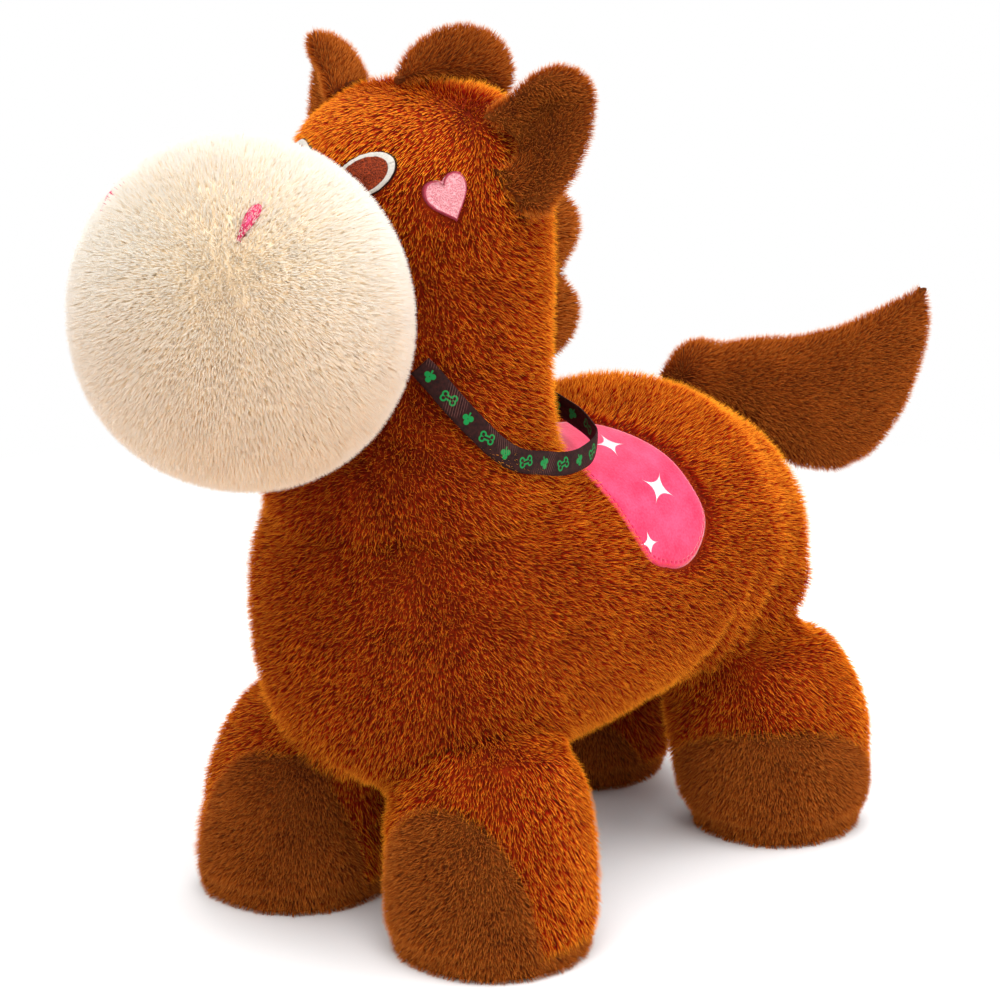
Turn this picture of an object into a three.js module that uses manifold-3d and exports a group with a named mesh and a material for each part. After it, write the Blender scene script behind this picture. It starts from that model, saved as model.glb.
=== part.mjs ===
// Plush horse: a sewn toy of pile fabric, stuffed with fibre, that stands on four stub legs.
// Lengths are in millimetres and angles in degrees. +Z is up, the horse faces -Y, its left is +X.
import * as THREE from 'three';
import { mergeVertices } from 'three/addons/utils/BufferGeometryUtils.js';
import Module from 'manifold-3d';

const wasm = await Module();
wasm.setup();

// Fabric: each skin is backing and pile together, and lies this far from its neighbours
const seamGap = 0.3;
const rustPlush = 6;
const creamPlush = 8;
const brownPlush = 4;
const soleThickness = 9;
const patchThickness = 1.5;
const cutOverrun = 60;

// Torso, from the chest to the rump
const torsoLength = 290;
const torsoWidth = 160;
const torsoHeight = 152;
const bellyHeight = 59;
const chestToFrontFeet = 47;

// Head and neck, one column that rises out of the torso
const headRise = 150;
const headWidth = 111;
const headDepth = 111;
const chestToHead = 13;
const neckRootDepth = 60;

// Muzzle, a ball sewn on the face
const muzzleWidth = 138;
const muzzleHeight = 140;
const muzzleDepth = 130;
const muzzleOverlap = 13;
const muzzleCentreBelowCrown = 79;

// Legs, each a stub pillar with a toe cap and a sole
const footSpacing = 115;
const legSpacing = 200;
const footDiameter = 95;
const legLean = 10;
const legSplay = 10;
const legRootDepth = 46;
const toeCapHeight = 79;
const toeCapWidth = 102;
const toeCapReach = 42;

// Turn of each toe cap towards the horse's left, and shares of its width, reach and height, as sewn
const toeTurns = { front_left: 6, front_right: 24, rear_left: 36, rear_right: -20 };
const frontToeShares = [1.06, 1.06, 1];
const rearToeShares = [1.5, 1.75, 0.76];

// Tail, a leaf-shaped pillow that swings about an upright axis at its root
const tailLength = 128;
const tailHeight = 70;
const tailThickness = 34;
const tailRootInset = 38;
const tailRootBelowBack = 6;
const tailRootAboveBack = 1;
const tailRestTurn = 25;
const tailSwing = 30;

// Ears, cupped leaves that fold about their seams
const earLength = 50;
const earWidth = 48;
const earThickness = 24;
const earFoldDepth = 21;
const earBelowCrown = 35;
const earBearing = 85;
const earFoldForward = 12;
const earFoldBack = 25;

// Forelock and mane, stuffed lobes that flop to either side
const forelockLength = 78;
const forelockHeight = 52;
const forelockThickness = 24;
const forelockAboveCrown = 22;
const forelockSetback = 21;
const maneLobeHeight = 45;
const maneLobePitch = 38;
const maneReach = 49;
const maneSunk = 16;
const maneThickness = 22;
const maneLowerEnd = 137;
const maneLobeCount = 3;
const maneFlop = 22;
const forelockFlop = 20;

// Trim: saddle flaps, eyes, cheek hearts and nostrils, all sewn on, and the ribbon rein
const saddleLength = 85;
const saddleWidth = 51;
const saddleSlope = 45;
const saddleTopFromSpine = 14;
const saddleBehindHead = -10;
const eyeWidth = 25;
const eyeHeight = 17;
const eyeBelowCrown = 29;
const eyeBearing = 18;
const eyeTilt = 28;
const heartWidth = 19;
const heartBelowCrown = 38;
const heartBearing = 54;
const heartTilt = 30;
const nostrilLength = 18;
const nostrilWidth = 4;
const nostrilBearing = 44;
const nostrilRise = 38;
const nostrilTilt = -28;
const reinWidth = 10;
const reinThickness = 0.8;
const reinClearance = 1.2;

// Facets
const torsoSides = 24;
const headSides = 24;
const muzzleSides = 22;
const legSides = 16;
const toeSides = 20;
const tailSides = 14;
const earSides = 14;
const lobeSides = 14;
const lobeRings = 7;
const reinSteps = 40;
const curveSteps = 8;
const swingSteps = 3;
const outlineSteps = 32;

// How square an outline is: 2 for an ellipse, more for a fuller one
const roundness = 2.3;
const ballRoundness = 2.1;
const leafRoundness = 2;

// Rows: share along, share of the half width, shares of the height at the bottom and the top
const torsoShares = [
  [0.012, 0.37, 0.24, 0.8],
  [0.04, 0.61, 0.12, 0.9],
  [0.09, 0.79, 0.04, 0.97],
  [0.17, 0.91, 0, 1],
  [0.3, 0.98, 0, 1],
  [0.46, 0.985, 0.02, 0.985],
  [0.62, 1, 0.06, 0.985],
  [0.76, 0.97, 0.09, 0.955],
  [0.87, 0.85, 0.14, 0.865],
  [0.94, 0.67, 0.23, 0.755],
  [0.985, 0.4, 0.37, 0.63],
];
const torsoNoseShare = 0.52;
const torsoTailShare = 0.5;

// Rows: share of the rise from the back to the crown, of the half width, of the depth at front and back
const headShares = [
  [-0.4, 0.8, 0.06, 0.9],
  [-0.17, 1.12, -0.13, 1.04],
  [-0.05, 1.09, -0.13, 1.02],
  [0.08, 1.03, -0.05, 0.99],
  [0.25, 1, 0.01, 0.985],
  [0.45, 0.99, 0.02, 1],
  [0.66, 0.99, 0, 0.99],
  [0.8, 0.94, 0.03, 0.97],
  [0.9, 0.81, 0.12, 0.89],
  [0.965, 0.55, 0.27, 0.75],
];
const headPoleShare = 0.5;

// Rows: share of the muzzle's depth from its front, share of its half width and half height
const muzzleShares = [
  [0.015, 0.26],
  [0.06, 0.5],
  [0.14, 0.71],
  [0.25, 0.87],
  [0.38, 0.97],
  [0.52, 1],
  [0.66, 0.955],
  [0.79, 0.83],
  [0.9, 0.62],
  [0.97, 0.35],
];

// Rows: share of the height from the floor to the hip, share of the foot's radius
const frontLegShares = [
  [0, 0.84],
  [0.04, 0.94],
  [0.13, 0.99],
  [0.29, 1],
  [0.52, 0.98],
  [0.7, 0.89],
  [0.86, 0.72],
];
const rearLegShares = [
  [0, 0.75],
  [0.04, 0.85],
  [0.13, 0.93],
  [0.29, 0.98],
  [0.52, 0.99],
  [0.7, 0.91],
  [0.86, 0.75],
];

// Rows: share along the tail, shares of its height at the lower and upper edge, share of thickness
const tailShares = [
  [-0.08, 0.6, 0.88, 0.5],
  [0.02, 0.56, 0.96, 0.66],
  [0.14, 0.44, 1.02, 0.8],
  [0.28, 0.22, 1.03, 0.92],
  [0.44, 0.06, 1.01, 1],
  [0.6, 0, 1.04, 1],
  [0.74, 0.09, 1.12, 0.94],
  [0.86, 0.34, 1.2, 0.8],
  [0.94, 0.68, 1.26, 0.55],
];
const tailTipShare = 0.99;
const tailRootShare = 0.96;

// Rows: share along the ear, shares of its width at the front and rear edge, share of thickness
const earShares = [
  [-0.52, -0.2, 0.38, 0.5],
  [-0.34, -0.32, 0.46, 0.7],
  [-0.16, -0.42, 0.5, 0.85],
  [0.04, -0.54, 0.5, 0.95],
  [0.24, -0.63, 0.41, 1],
  [0.45, -0.68, 0.32, 1],
  [0.65, -0.72, 0.18, 0.98],
  [0.82, -0.68, 0.03, 0.92],
  [0.94, -0.56, -0.14, 0.72],
];
const earRootShare = -0.64;
const earTipShare = -0.34;
const earTipFoldShare = 0.35;
const earSeamShares = [0.37, 0.4, -0.84];
const earRiseShares = [0.69, 0.47, 0.55];
const earCreaseShare = -0.26;
const earCreaseWidthShare = 0.5;
const earFoldFadeShare = 0.45;

// Teardrop of a saddle flap, clockwise from the tip: shares of its width and of its length
const saddleOutlineShares = [
  [0.2, 0],
  [0.63, 0.2],
  [0.83, 0.53],
  [1, 0.74],
  [0.95, 0.91],
  [0.66, 1],
  [0.3, 1],
  [0.09, 0.85],
  [0, 0.3],
  [0.02, 0.12],
];

// Half of a heart from its notch to its point: shares of its width, then three bends
const heartNotchShares = [0, 0.26];
const heartBendShares = [
  [0.08, 0.52, 0.5, 0.52, 0.5, 0.17],
  [0.5, -0.12, 0.2, -0.3, 0, -0.56],
];

// Rows down the rein's left half: bearing, share of the head's rise, slack as a share of its width
const reinShares = [
  [40, 0.29, 0],
  [58, 0.175, 0],
  [84, 0.015, 0],
  [104, -0.04, 0.15],
  [121, -0.05, 0.75],
  [137, -0.03, 1.25],
  [150, 0, 1.0],
  [165, 0.03, 0.7],
  [180, 0.04, 0.6],
];

const fabrics = {
  rust: { color: 0xa5480f, roughness: 0.95, metalness: 0 },
  cream: { color: 0xf3e4cb, roughness: 0.95, metalness: 0 },
  brown: { color: 0x855018, roughness: 0.95, metalness: 0 },
  pink: { color: 0xff4d97, roughness: 0.8, metalness: 0 },
  blush: { color: 0xf9afc4, roughness: 0.5, metalness: 0 },
  eye: { color: 0xf4efe6, roughness: 0.5, metalness: 0 },
  ribbon: { color: 0x3c1a17, roughness: 0.7, metalness: 0 },
  fibre: { color: 0xf4f4f0, roughness: 1, metalness: 0 },
};

const frontFeetY = chestToFrontFeet;
const rearFeetY = frontFeetY + legSpacing;
const backHeight = bellyHeight + torsoHeight;
const crownHeight = backHeight + headRise;
const up = new THREE.Vector3(0, 0, 1);
const forward = new THREE.Vector3(0, -1, 0);

const mix = THREE.MathUtils.lerp;
const radians = THREE.MathUtils.degToRad;
const handOf = (side) => (side > 0 ? 'left' : 'right');
const bulge = (value, power) => Math.sign(value) * Math.abs(value) ** (2 / power);

// Value of each column of a table of rows, between its rows
function between(rows, share) {
  const last = rows.length - 1;
  let row = rows.findIndex((entry) => entry[0] > share);
  if (row < 0) row = last;
  row = Math.max(row, 1);
  const [before, after] = [rows[row - 1], rows[row]];
  const part = THREE.MathUtils.clamp((share - before[0]) / (after[0] - before[0]), 0, 1);
  return before.map((value, column) => mix(value, after[column], part));
}

// A rounded outline about a centre, from its half sizes along two directions
function ring(centre, across, along, sides, power = roundness) {
  return Array.from({ length: sides }, (_, side) => {
    const turn = (2 * Math.PI * side) / sides;
    return centre
      .clone()
      .addScaledVector(across, bulge(Math.sin(turn), power))
      .addScaledVector(along, bulge(Math.cos(turn), power));
  });
}

// A closed surface through rings of points, with a pole beyond each end
function loft(rings, firstPole, lastPole) {
  const sides = rings[0].length;
  const points = [firstPole, ...rings.flat(), lastPole];
  const topRow = 1 + (rings.length - 1) * sides;
  const index = [];
  for (let side = 0; side < sides; side += 1) {
    const next = (side + 1) % sides;
    index.push(0, 1 + next, 1 + side);
    for (let here = 1; here < topRow; here += sides) {
      const there = here + sides;
      index.push(here + side, here + next, there + next);
      index.push(here + side, there + next, there + side);
    }
    index.push(topRow + side, topRow + next, points.length - 1);
  }
  const geometry = new THREE.BufferGeometry().setFromPoints(points);
  geometry.setIndex(index);
  return facingOut(geometry);
}

// The same surface with its faces turned round where they point inwards
function facingOut(geometry) {
  const points = geometry.attributes.position;
  const [a, b, c] = [new THREE.Vector3(), new THREE.Vector3(), new THREE.Vector3()];
  const corners = geometry.index.array;
  let volume = 0;
  for (let face = 0; face < corners.length; face += 3) {
    a.fromBufferAttribute(points, corners[face]);
    b.fromBufferAttribute(points, corners[face + 1]);
    c.fromBufferAttribute(points, corners[face + 2]);
    volume += a.dot(b.cross(c));
  }
  if (volume < 0) corners.reverse();
  return geometry;
}

// The surface moved outwards by a distance, or inwards where it is negative
function offset(geometry, distance) {
  const moved = geometry.clone();
  moved.computeVertexNormals();
  const { position, normal } = moved.attributes;
  const [point, outwards] = [new THREE.Vector3(), new THREE.Vector3()];
  for (let vertex = 0; vertex < position.count; vertex += 1) {
    point.fromBufferAttribute(position, vertex);
    outwards.fromBufferAttribute(normal, vertex);
    point.addScaledVector(outwards, distance);
    position.setXYZ(vertex, point.x, point.y, point.z);
  }
  return moved;
}

// The same surface with each corner once, shared by the faces around it
function sewnUp(geometry) {
  const bare = geometry.clone();
  bare.deleteAttribute('normal');
  bare.deleteAttribute('uv');
  return facingOut(mergeVertices(bare));
}

function solid(geometry) {
  const merged = sewnUp(geometry);
  const vertProperties = Float32Array.from(merged.attributes.position.array);
  const triVerts = Uint32Array.from(merged.index.array);
  return new wasm.Manifold(new wasm.Mesh({ numProp: 3, vertProperties, triVerts }));
}

const swollen = (form, distance) => solid(offset(form, distance));

// The space inside a skin of a given thickness, and the stuffing that fills it but for the gap
const hollow = (form, thickness) => swollen(form, -thickness);
const filling = (form, thickness) => hollow(form, thickness + seamGap).intersect(hollow(form, thickness));

// A slab below a height, wide enough to cut any leg
function floorSlab(height) {
  const side = torsoLength + tailLength + muzzleDepth;
  const slab = new THREE.BoxGeometry(2 * side, 2 * side, cutOverrun);
  slab.translate(0, 0, height - cutOverrun / 2);
  return solid(slab);
}

// Takes away what an obstacle reaches while the piece turns about its hinge
function clearedThroughSwing(piece, obstacle, hinge, least, most) {
  let cleared = piece;
  for (let step = 0; step <= swingSteps; step += 1) {
    const angle = radians(mix(least, most, step / swingSteps));
    const turned = new THREE.Matrix4()
      .makeTranslation(hinge.point)
      .multiply(new THREE.Matrix4().makeRotationAxis(hinge.axis, -angle))
      .multiply(new THREE.Matrix4().makeTranslation(hinge.point.clone().negate()));
    cleared = cleared.subtract(obstacle.transform(turned.elements));
  }
  return cleared;
}

// Torso
const torsoY = (share) => share * torsoLength;
const torsoZ = (share) => bellyHeight + share * torsoHeight;

function torsoRing([along, width, low, high]) {
  const centre = new THREE.Vector3(0, torsoY(along), torsoZ((low + high) / 2));
  const across = new THREE.Vector3((width * torsoWidth) / 2, 0, 0);
  const upright = new THREE.Vector3(0, 0, ((high - low) * torsoHeight) / 2);
  return ring(centre, across, upright, torsoSides);
}

const torsoForm = loft(
  torsoShares.map(torsoRing),
  new THREE.Vector3(0, 0, torsoZ(torsoNoseShare)),
  new THREE.Vector3(0, torsoLength, torsoZ(torsoTailShare)),
);

// Height of the torso's upper surface at a place seen from above
function torsoTopAt(x, y) {
  const [, width, low, high] = between(torsoShares, y / torsoLength);
  const sideShare = Math.min(Math.abs(x) / ((width * torsoWidth) / 2), 1);
  const rise = (1 - sideShare ** roundness) ** (1 / roundness);
  return torsoZ((low + high) / 2) + (rise * (high - low) * torsoHeight) / 2;
}

// Head and neck
const headFrontY = chestToHead;

function headRow(share) {
  const [, width, front, back] = between(headShares, share);
  const [frontY, backY] = [front, back].map((part) => headFrontY + part * headDepth);
  return {
    centre: new THREE.Vector3(0, (frontY + backY) / 2, backHeight + share * headRise),
    across: new THREE.Vector3((width * headWidth) / 2, 0, 0),
    along: new THREE.Vector3(0, (frontY - backY) / 2, 0),
  };
}

function headRing([share]) {
  const { centre, across, along } = headRow(share);
  return ring(centre, across, along, headSides);
}

const headRootRow = headRow(headShares[0][0]);
const headForm = loft(
  headShares.map(headRing),
  headRootRow.centre.clone().setZ(backHeight - neckRootDepth),
  new THREE.Vector3(0, headFrontY + headPoleShare * headDepth, crownHeight),
);

// Place and outward direction on the head, at a height above the back and a bearing from the front
function onHead(height, bearing, lift = 0) {
  const { centre, across, along } = headRow(height / headRise);
  const turn = radians(bearing);
  const point = centre
    .clone()
    .addScaledVector(across, bulge(Math.sin(turn), roundness))
    .addScaledVector(along, bulge(Math.cos(turn), roundness));
  const outwards = new THREE.Vector3(
    point.x / across.x ** 2,
    (point.y - centre.y) / along.y ** 2,
    0,
  ).normalize();
  return { point: point.addScaledVector(outwards, lift), outwards };
}

// Muzzle
const muzzleBackY = headFrontY + muzzleOverlap;
const muzzleCentre = new THREE.Vector3(
  0,
  muzzleBackY - muzzleDepth / 2,
  crownHeight - muzzleCentreBelowCrown,
);

function muzzleRing([share, size]) {
  const centre = muzzleCentre.clone().setY(muzzleBackY - (1 - share) * muzzleDepth);
  const across = new THREE.Vector3((size * muzzleWidth) / 2, 0, 0);
  const upright = new THREE.Vector3(0, 0, (size * muzzleHeight) / 2);
  return ring(centre, across, upright, muzzleSides, ballRoundness);
}

const muzzleForm = loft(
  muzzleShares.map(muzzleRing),
  muzzleCentre.clone().setY(muzzleBackY - muzzleDepth),
  muzzleCentre.clone().setY(muzzleBackY),
);

// Legs
const hipHeight = bellyHeight + legRootDepth;

function legForm({ side, end, footY, shares }) {
  const foot = new THREE.Vector3((side * footSpacing) / 2, footY, 0);
  const hip = foot.clone().add(new THREE.Vector3(-side * legLean, -end * legSplay, hipHeight));
  const rings = shares.map(([share, size]) => {
    const centre = foot.clone().lerp(hip, share);
    const radius = (size * footDiameter) / 2;
    const across = new THREE.Vector3(radius, 0, 0);
    return ring(centre, across, new THREE.Vector3(0, radius, 0), legSides, ballRoundness);
  });
  return loft(rings, foot, hip);
}

function toeForm({ name, side, footY, toeShares: [width, reach, height] }) {
  const toe = new THREE.SphereGeometry(1, toeSides, toeSides / 2);
  toe.rotateX(Math.PI / 2);
  toe.scale((width * toeCapWidth) / 2, reach * toeCapReach, height * toeCapHeight);
  toe.translate(0, -footDiameter / 2, 0);
  toe.rotateZ(radians(toeTurns[name]));
  toe.translate((side * footSpacing) / 2, footY, 0);
  return sewnUp(toe);
}

const frontFoot = { end: -1, footY: frontFeetY, shares: frontLegShares, toeShares: frontToeShares };
const rearFoot = { end: 1, footY: rearFeetY, shares: rearLegShares, toeShares: rearToeShares };
const legs = [
  { name: 'front_left', side: 1, ...frontFoot },
  { name: 'front_right', side: -1, ...frontFoot },
  { name: 'rear_left', side: 1, ...rearFoot },
  { name: 'rear_right', side: -1, ...rearFoot },
];
for (const leg of legs) {
  leg.form = legForm(leg);
  leg.toe = toeForm(leg);
}

// Skins and stuffings. The smaller form gives way to the larger one where two are sewn together.
const torsoGrown = swollen(torsoForm, seamGap);
const headGrown = swollen(headForm, seamGap);
const torsoHollow = hollow(torsoForm, rustPlush);
const headHollow = hollow(headForm, rustPlush);
const muzzleHollow = hollow(muzzleForm, creamPlush);
const pieces = [];

function add(name, shape, fabric, point = new THREE.Vector3()) {
  pieces.push({ name, shape, fabric, point });
}

let torsoSkin = solid(torsoForm).subtract(torsoHollow).subtract(headHollow);
for (const { form } of legs) {
  torsoSkin = torsoSkin.subtract(hollow(form, rustPlush));
}
add('torso', torsoSkin, 'rust');
add('torso_stuffing', filling(torsoForm, rustPlush), 'fibre');
const headSkin = solid(headForm).subtract(torsoGrown).subtract(headHollow).subtract(muzzleHollow);
add('head_neck', headSkin, 'rust');
add('head_stuffing', filling(headForm, rustPlush).subtract(torsoHollow), 'fibre');
const muzzleSkin = solid(muzzleForm).subtract(headGrown).subtract(muzzleHollow);
add('muzzle', muzzleSkin, 'cream');
add('muzzle_stuffing', filling(muzzleForm, creamPlush).subtract(headHollow), 'fibre');

const aboveSole = floorSlab(soleThickness + seamGap);
for (const leg of legs) {
  const { name, form, toe } = leg;
  const whole = solid(form).subtract(torsoGrown);
  const shell = whole.subtract(hollow(form, rustPlush)).subtract(aboveSole);
  const fill = filling(form, rustPlush).subtract(torsoHollow).subtract(aboveSole);
  add(`leg_${name}`, shell.subtract(swollen(toe, seamGap)), 'rust');
  add(`toe_cap_${name}`, shell.intersect(solid(toe)), 'brown');
  add(`sole_${name}`, solid(form).intersect(floorSlab(soleThickness)), 'brown');
  add(`leg_stuffing_${name}`, fill, 'fibre');
}

// Tail
const tailHinge = {
  point: new THREE.Vector3(0, torsoLength - tailRootInset, backHeight - tailRootBelowBack),
  axis: up,
};
const tailTurn = new THREE.Matrix4()
  .makeTranslation(tailHinge.point)
  .multiply(new THREE.Matrix4().makeRotationZ(-radians(tailRestTurn)));
const tailRootTop = tailRootBelowBack + tailRootAboveBack;
const tailHeightAt = (share) => (share - tailRootShare) * tailHeight + tailRootTop;

function tailRing([share, low, high, thick]) {
  const centre = new THREE.Vector3(0, share * tailLength, tailHeightAt((low + high) / 2));
  const across = new THREE.Vector3((thick * tailThickness) / 2, 0, 0);
  const upright = new THREE.Vector3(0, 0, ((high - low) * tailHeight) / 2);
  return ring(centre, across, upright, tailSides, leafRoundness);
}

const tailEnd = tailShares[tailShares.length - 1];
const tailForm = loft(
  tailShares.map(tailRing),
  new THREE.Vector3(0, 2 * tailShares[0][0] * tailLength, tailHeightAt(tailShares[0][2])),
  new THREE.Vector3(0, tailTipShare * tailLength, tailHeightAt((tailEnd[1] + tailEnd[2]) / 2)),
);
tailForm.applyMatrix4(tailTurn);
const tailLeast = tailRestTurn - tailSwing;
const tailMost = tailRestTurn + tailSwing;
const tailParts = [
  { name: 'tail', shape: solid(tailForm).subtract(hollow(tailForm, brownPlush)), fabric: 'brown' },
  { name: 'tail_stuffing', shape: filling(tailForm, brownPlush), fabric: 'fibre' },
];
for (const { name, shape, fabric } of tailParts) {
  const cleared = clearedThroughSwing(shape, torsoGrown, tailHinge, tailLeast, tailMost);
  add(name, cleared, fabric, tailHinge.point);
}

// Ears
function earForm() {
  const rings = earShares.map(([share, front, rear, thick]) =>
    Array.from({ length: earSides }, (_, side) => {
      const turn = (2 * Math.PI * side) / earSides;
      const across = mix(front, rear, (1 + Math.cos(turn)) / 2);
      const fromCrease = Math.abs(across - earCreaseShare) / earCreaseWidthShare;
      const fold = earFoldDepth * (1 - earFoldFadeShare * Math.abs(share));
      const crease = Math.max(0, 1 - fromCrease) * fold;
      const thickness = (thick * earThickness * Math.sin(turn)) / 2;
      return new THREE.Vector3(across * earWidth, crease + thickness, share * earLength);
    }),
  );
  const root = new THREE.Vector3(0, 0, earRootShare * earLength);
  const tipFold = earFoldDepth * earTipFoldShare;
  return loft(rings, root, new THREE.Vector3(earTipShare * earWidth, tipFold, earLength));
}

for (const side of [1, -1]) {
  const { point } = onHead(headRise - earBelowCrown, side * earBearing);
  const mirrored = new THREE.Vector3(side, 1, 1);
  const seam = new THREE.Vector3(...earSeamShares).multiply(mirrored).normalize();
  const length = new THREE.Vector3(...earRiseShares).multiply(mirrored);
  length.addScaledVector(seam, -length.dot(seam)).normalize();
  const back = new THREE.Vector3().crossVectors(length, seam);
  if (side < 0) back.negate();
  const form = earForm();
  form.applyMatrix4(new THREE.Matrix4().makeBasis(seam, back, length).setPosition(point));
  const hinge = { point, axis: seam.clone().multiplyScalar(side) };
  const ear = clearedThroughSwing(solid(form), headGrown, hinge, -earFoldForward, earFoldBack);
  add(`ear_${handOf(side)}`, ear, 'brown', point);
}

// A stuffed lobe: a ball drawn out to its length, reach and thickness
function lobe(centre, thickness, depth, height) {
  const ball = new THREE.SphereGeometry(1, lobeSides, lobeRings);
  ball.scale(thickness / 2, depth / 2, height / 2);
  ball.translate(centre.x, centre.y, centre.z);
  return solid(ball);
}

// Forelock
const crown = new THREE.Vector3(0, headFrontY + headPoleShare * headDepth, crownHeight);
const forelockPoint = crown.clone().add(new THREE.Vector3(0, forelockSetback, 0));
const forelockHinge = { point: forelockPoint, axis: forward };
const tuft = lobe(
  forelockPoint.clone().setZ(crownHeight + forelockAboveCrown - forelockHeight / 2),
  forelockThickness,
  forelockLength,
  forelockHeight,
);
const forelock = clearedThroughSwing(tuft, headGrown, forelockHinge, -forelockFlop, forelockFlop);
add('forelock', forelock, 'brown', forelockPoint);

// Mane
const neckBack = onHead(headRise / 2, 180).point;
const maneHinge = { point: neckBack.clone().setZ(crownHeight - maneLowerEnd), axis: up };
const scallops = Array.from({ length: maneLobeCount }, (_, count) => {
  const rise = maneLobeHeight / 2 + count * maneLobePitch;
  const centre = new THREE.Vector3(0, (maneReach - maneSunk) / 2, rise).add(maneHinge.point);
  return lobe(centre, maneThickness, maneReach + maneSunk, maneLobeHeight);
});
const joined = scallops.reduce((whole, scallop) => whole.add(scallop));
const mane = clearedThroughSwing(joined, headGrown, maneHinge, -maneFlop, maneFlop);
add('mane', mane, 'brown', maneHinge.point);

// A sewn-on patch: the part of a thin layer over a form that lies inside an outline
function patch(form, outline, point, outwards, upwards) {
  const layer = swollen(form, seamGap + patchThickness).subtract(swollen(form, seamGap));
  const settings = { depth: cutOverrun, bevelEnabled: false, curveSegments: curveSteps };
  const prism = new THREE.ExtrudeGeometry(outline, settings);
  prism.translate(0, 0, -cutOverrun / 2);
  const across = new THREE.Vector3().crossVectors(upwards, outwards).normalize();
  const rise = new THREE.Vector3().crossVectors(outwards, across);
  prism.applyMatrix4(new THREE.Matrix4().makeBasis(across, rise, outwards).setPosition(point));
  return layer.intersect(solid(prism));
}

// Saddle flaps
const saddleCorners = saddleOutlineShares.map(
  ([across, down]) => new THREE.Vector2(across * saddleWidth, -down * saddleLength),
);
const saddleCurve = new THREE.SplineCurve([...saddleCorners, saddleCorners[0]]);
const saddlePoints = saddleCurve.getPoints(outlineSteps).slice(0, -1);
const saddleY = onHead(0, 180).point.y + saddleBehindHead;
const saddleZ = torsoTopAt(saddleTopFromSpine, saddleY);
const slope = radians(saddleSlope);
for (const side of [1, -1]) {
  const outline = new THREE.Shape(saddlePoints.map(({ x, y }) => new THREE.Vector2(side * x, y)));
  const outwards = new THREE.Vector3(side * Math.sin(slope), 0, Math.cos(slope));
  const upwards = new THREE.Vector3(-side * Math.cos(slope), 0, Math.sin(slope));
  const point = new THREE.Vector3(side * saddleTopFromSpine, saddleY, saddleZ);
  const flap = patch(torsoForm, outline, point, outwards, upwards).subtract(headGrown);
  add(`saddle_${handOf(side)}`, flap, 'pink');
}

// Eyes and cheek hearts
const eyeOutline = new THREE.Shape();
eyeOutline.absellipse(0, 0, eyeWidth / 2, eyeHeight / 2, 0, 2 * Math.PI);
const heartHalf = new THREE.Path();
heartHalf.moveTo(...heartNotchShares.map((share) => share * heartWidth));
for (const bend of heartBendShares) {
  heartHalf.bezierCurveTo(...bend.map((share) => share * heartWidth));
}
const heartPoints = heartHalf.getPoints(curveSteps);
const heartMirrored = heartPoints.slice(1, -1).reverse().map(({ x, y }) => new THREE.Vector2(-x, y));
const heartOutline = new THREE.Shape([...heartPoints, ...heartMirrored]);
for (const side of [1, -1]) {
  const hand = handOf(side);
  const eye = onHead(headRise - eyeBelowCrown, side * eyeBearing);
  const raised = up.clone().applyAxisAngle(eye.outwards, side * radians(eyeTilt));
  add(`eye_${hand}`, patch(headForm, eyeOutline, eye.point, eye.outwards, raised), 'eye');
  const cheek = onHead(headRise - heartBelowCrown, side * heartBearing);
  const tilted = up.clone().applyAxisAngle(cheek.outwards, side * radians(heartTilt));
  add(`heart_${hand}`, patch(headForm, heartOutline, cheek.point, cheek.outwards, tilted), 'blush');
}

// Nostrils
const nostrilOutline = new THREE.Shape();
nostrilOutline.absellipse(0, 0, nostrilWidth / 2, nostrilLength / 2, 0, 2 * Math.PI);
for (const side of [1, -1]) {
  const outwards = forward
    .clone()
    .applyAxisAngle(new THREE.Vector3(-1, 0, 0), radians(nostrilRise))
    .applyAxisAngle(up, side * radians(nostrilBearing));
  const reach = new THREE.Vector3(muzzleWidth, muzzleDepth, muzzleHeight).divideScalar(2);
  const point = muzzleCentre.clone().add(outwards.clone().multiply(reach));
  const tilted = up.clone().applyAxisAngle(outwards, side * radians(nostrilTilt));
  const stitching = patch(muzzleForm, nostrilOutline, point, outwards, tilted);
  add(`nostril_${handOf(side)}`, stitching, 'pink');
}

// Ribbon rein, sewn in at both ends of the muzzle seam and slack behind the neck
function reinPoint(bearing) {
  const [, rise, slack] = between(reinShares, Math.abs(bearing));
  const lift = reinClearance + slack * reinWidth;
  const place = onHead(rise * headRise, bearing, lift);
  const resting = torsoTopAt(place.point.x, place.point.y) + reinWidth / 2 + seamGap;
  place.point.z = Math.max(place.point.z, resting);
  return place;
}

const reinCorners = [
  [1, 0],
  [1, 1],
  [-1, 1],
  [-1, 0],
];
const reinStart = reinShares[0][0];
const reinPlaces = Array.from({ length: reinSteps + 1 }, (_, step) =>
  reinPoint(mix(reinStart, 360 - reinStart, step / reinSteps)),
);
const reinRings = reinPlaces.map(({ point, outwards }, step) => {
  const before = reinPlaces[Math.max(step - 1, 0)].point;
  const after = reinPlaces[Math.min(step + 1, reinSteps)].point;
  const along = after.clone().sub(before).normalize();
  const across = new THREE.Vector3().crossVectors(along, outwards).normalize();
  const outer = new THREE.Vector3().crossVectors(across, along).normalize();
  return reinCorners.map(([edge, face]) =>
    point
      .clone()
      .addScaledVector(across, (edge * reinWidth) / 2)
      .addScaledVector(outer, face * reinThickness),
  );
});
const reinEnds = [reinRings[0], reinRings[reinSteps]].map((corners) =>
  corners[0].clone().add(corners[2]).multiplyScalar(0.5),
);
add('rein', solid(loft(reinRings, ...reinEnds)).subtract(swollen(muzzleForm, seamGap)), 'ribbon');

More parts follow.
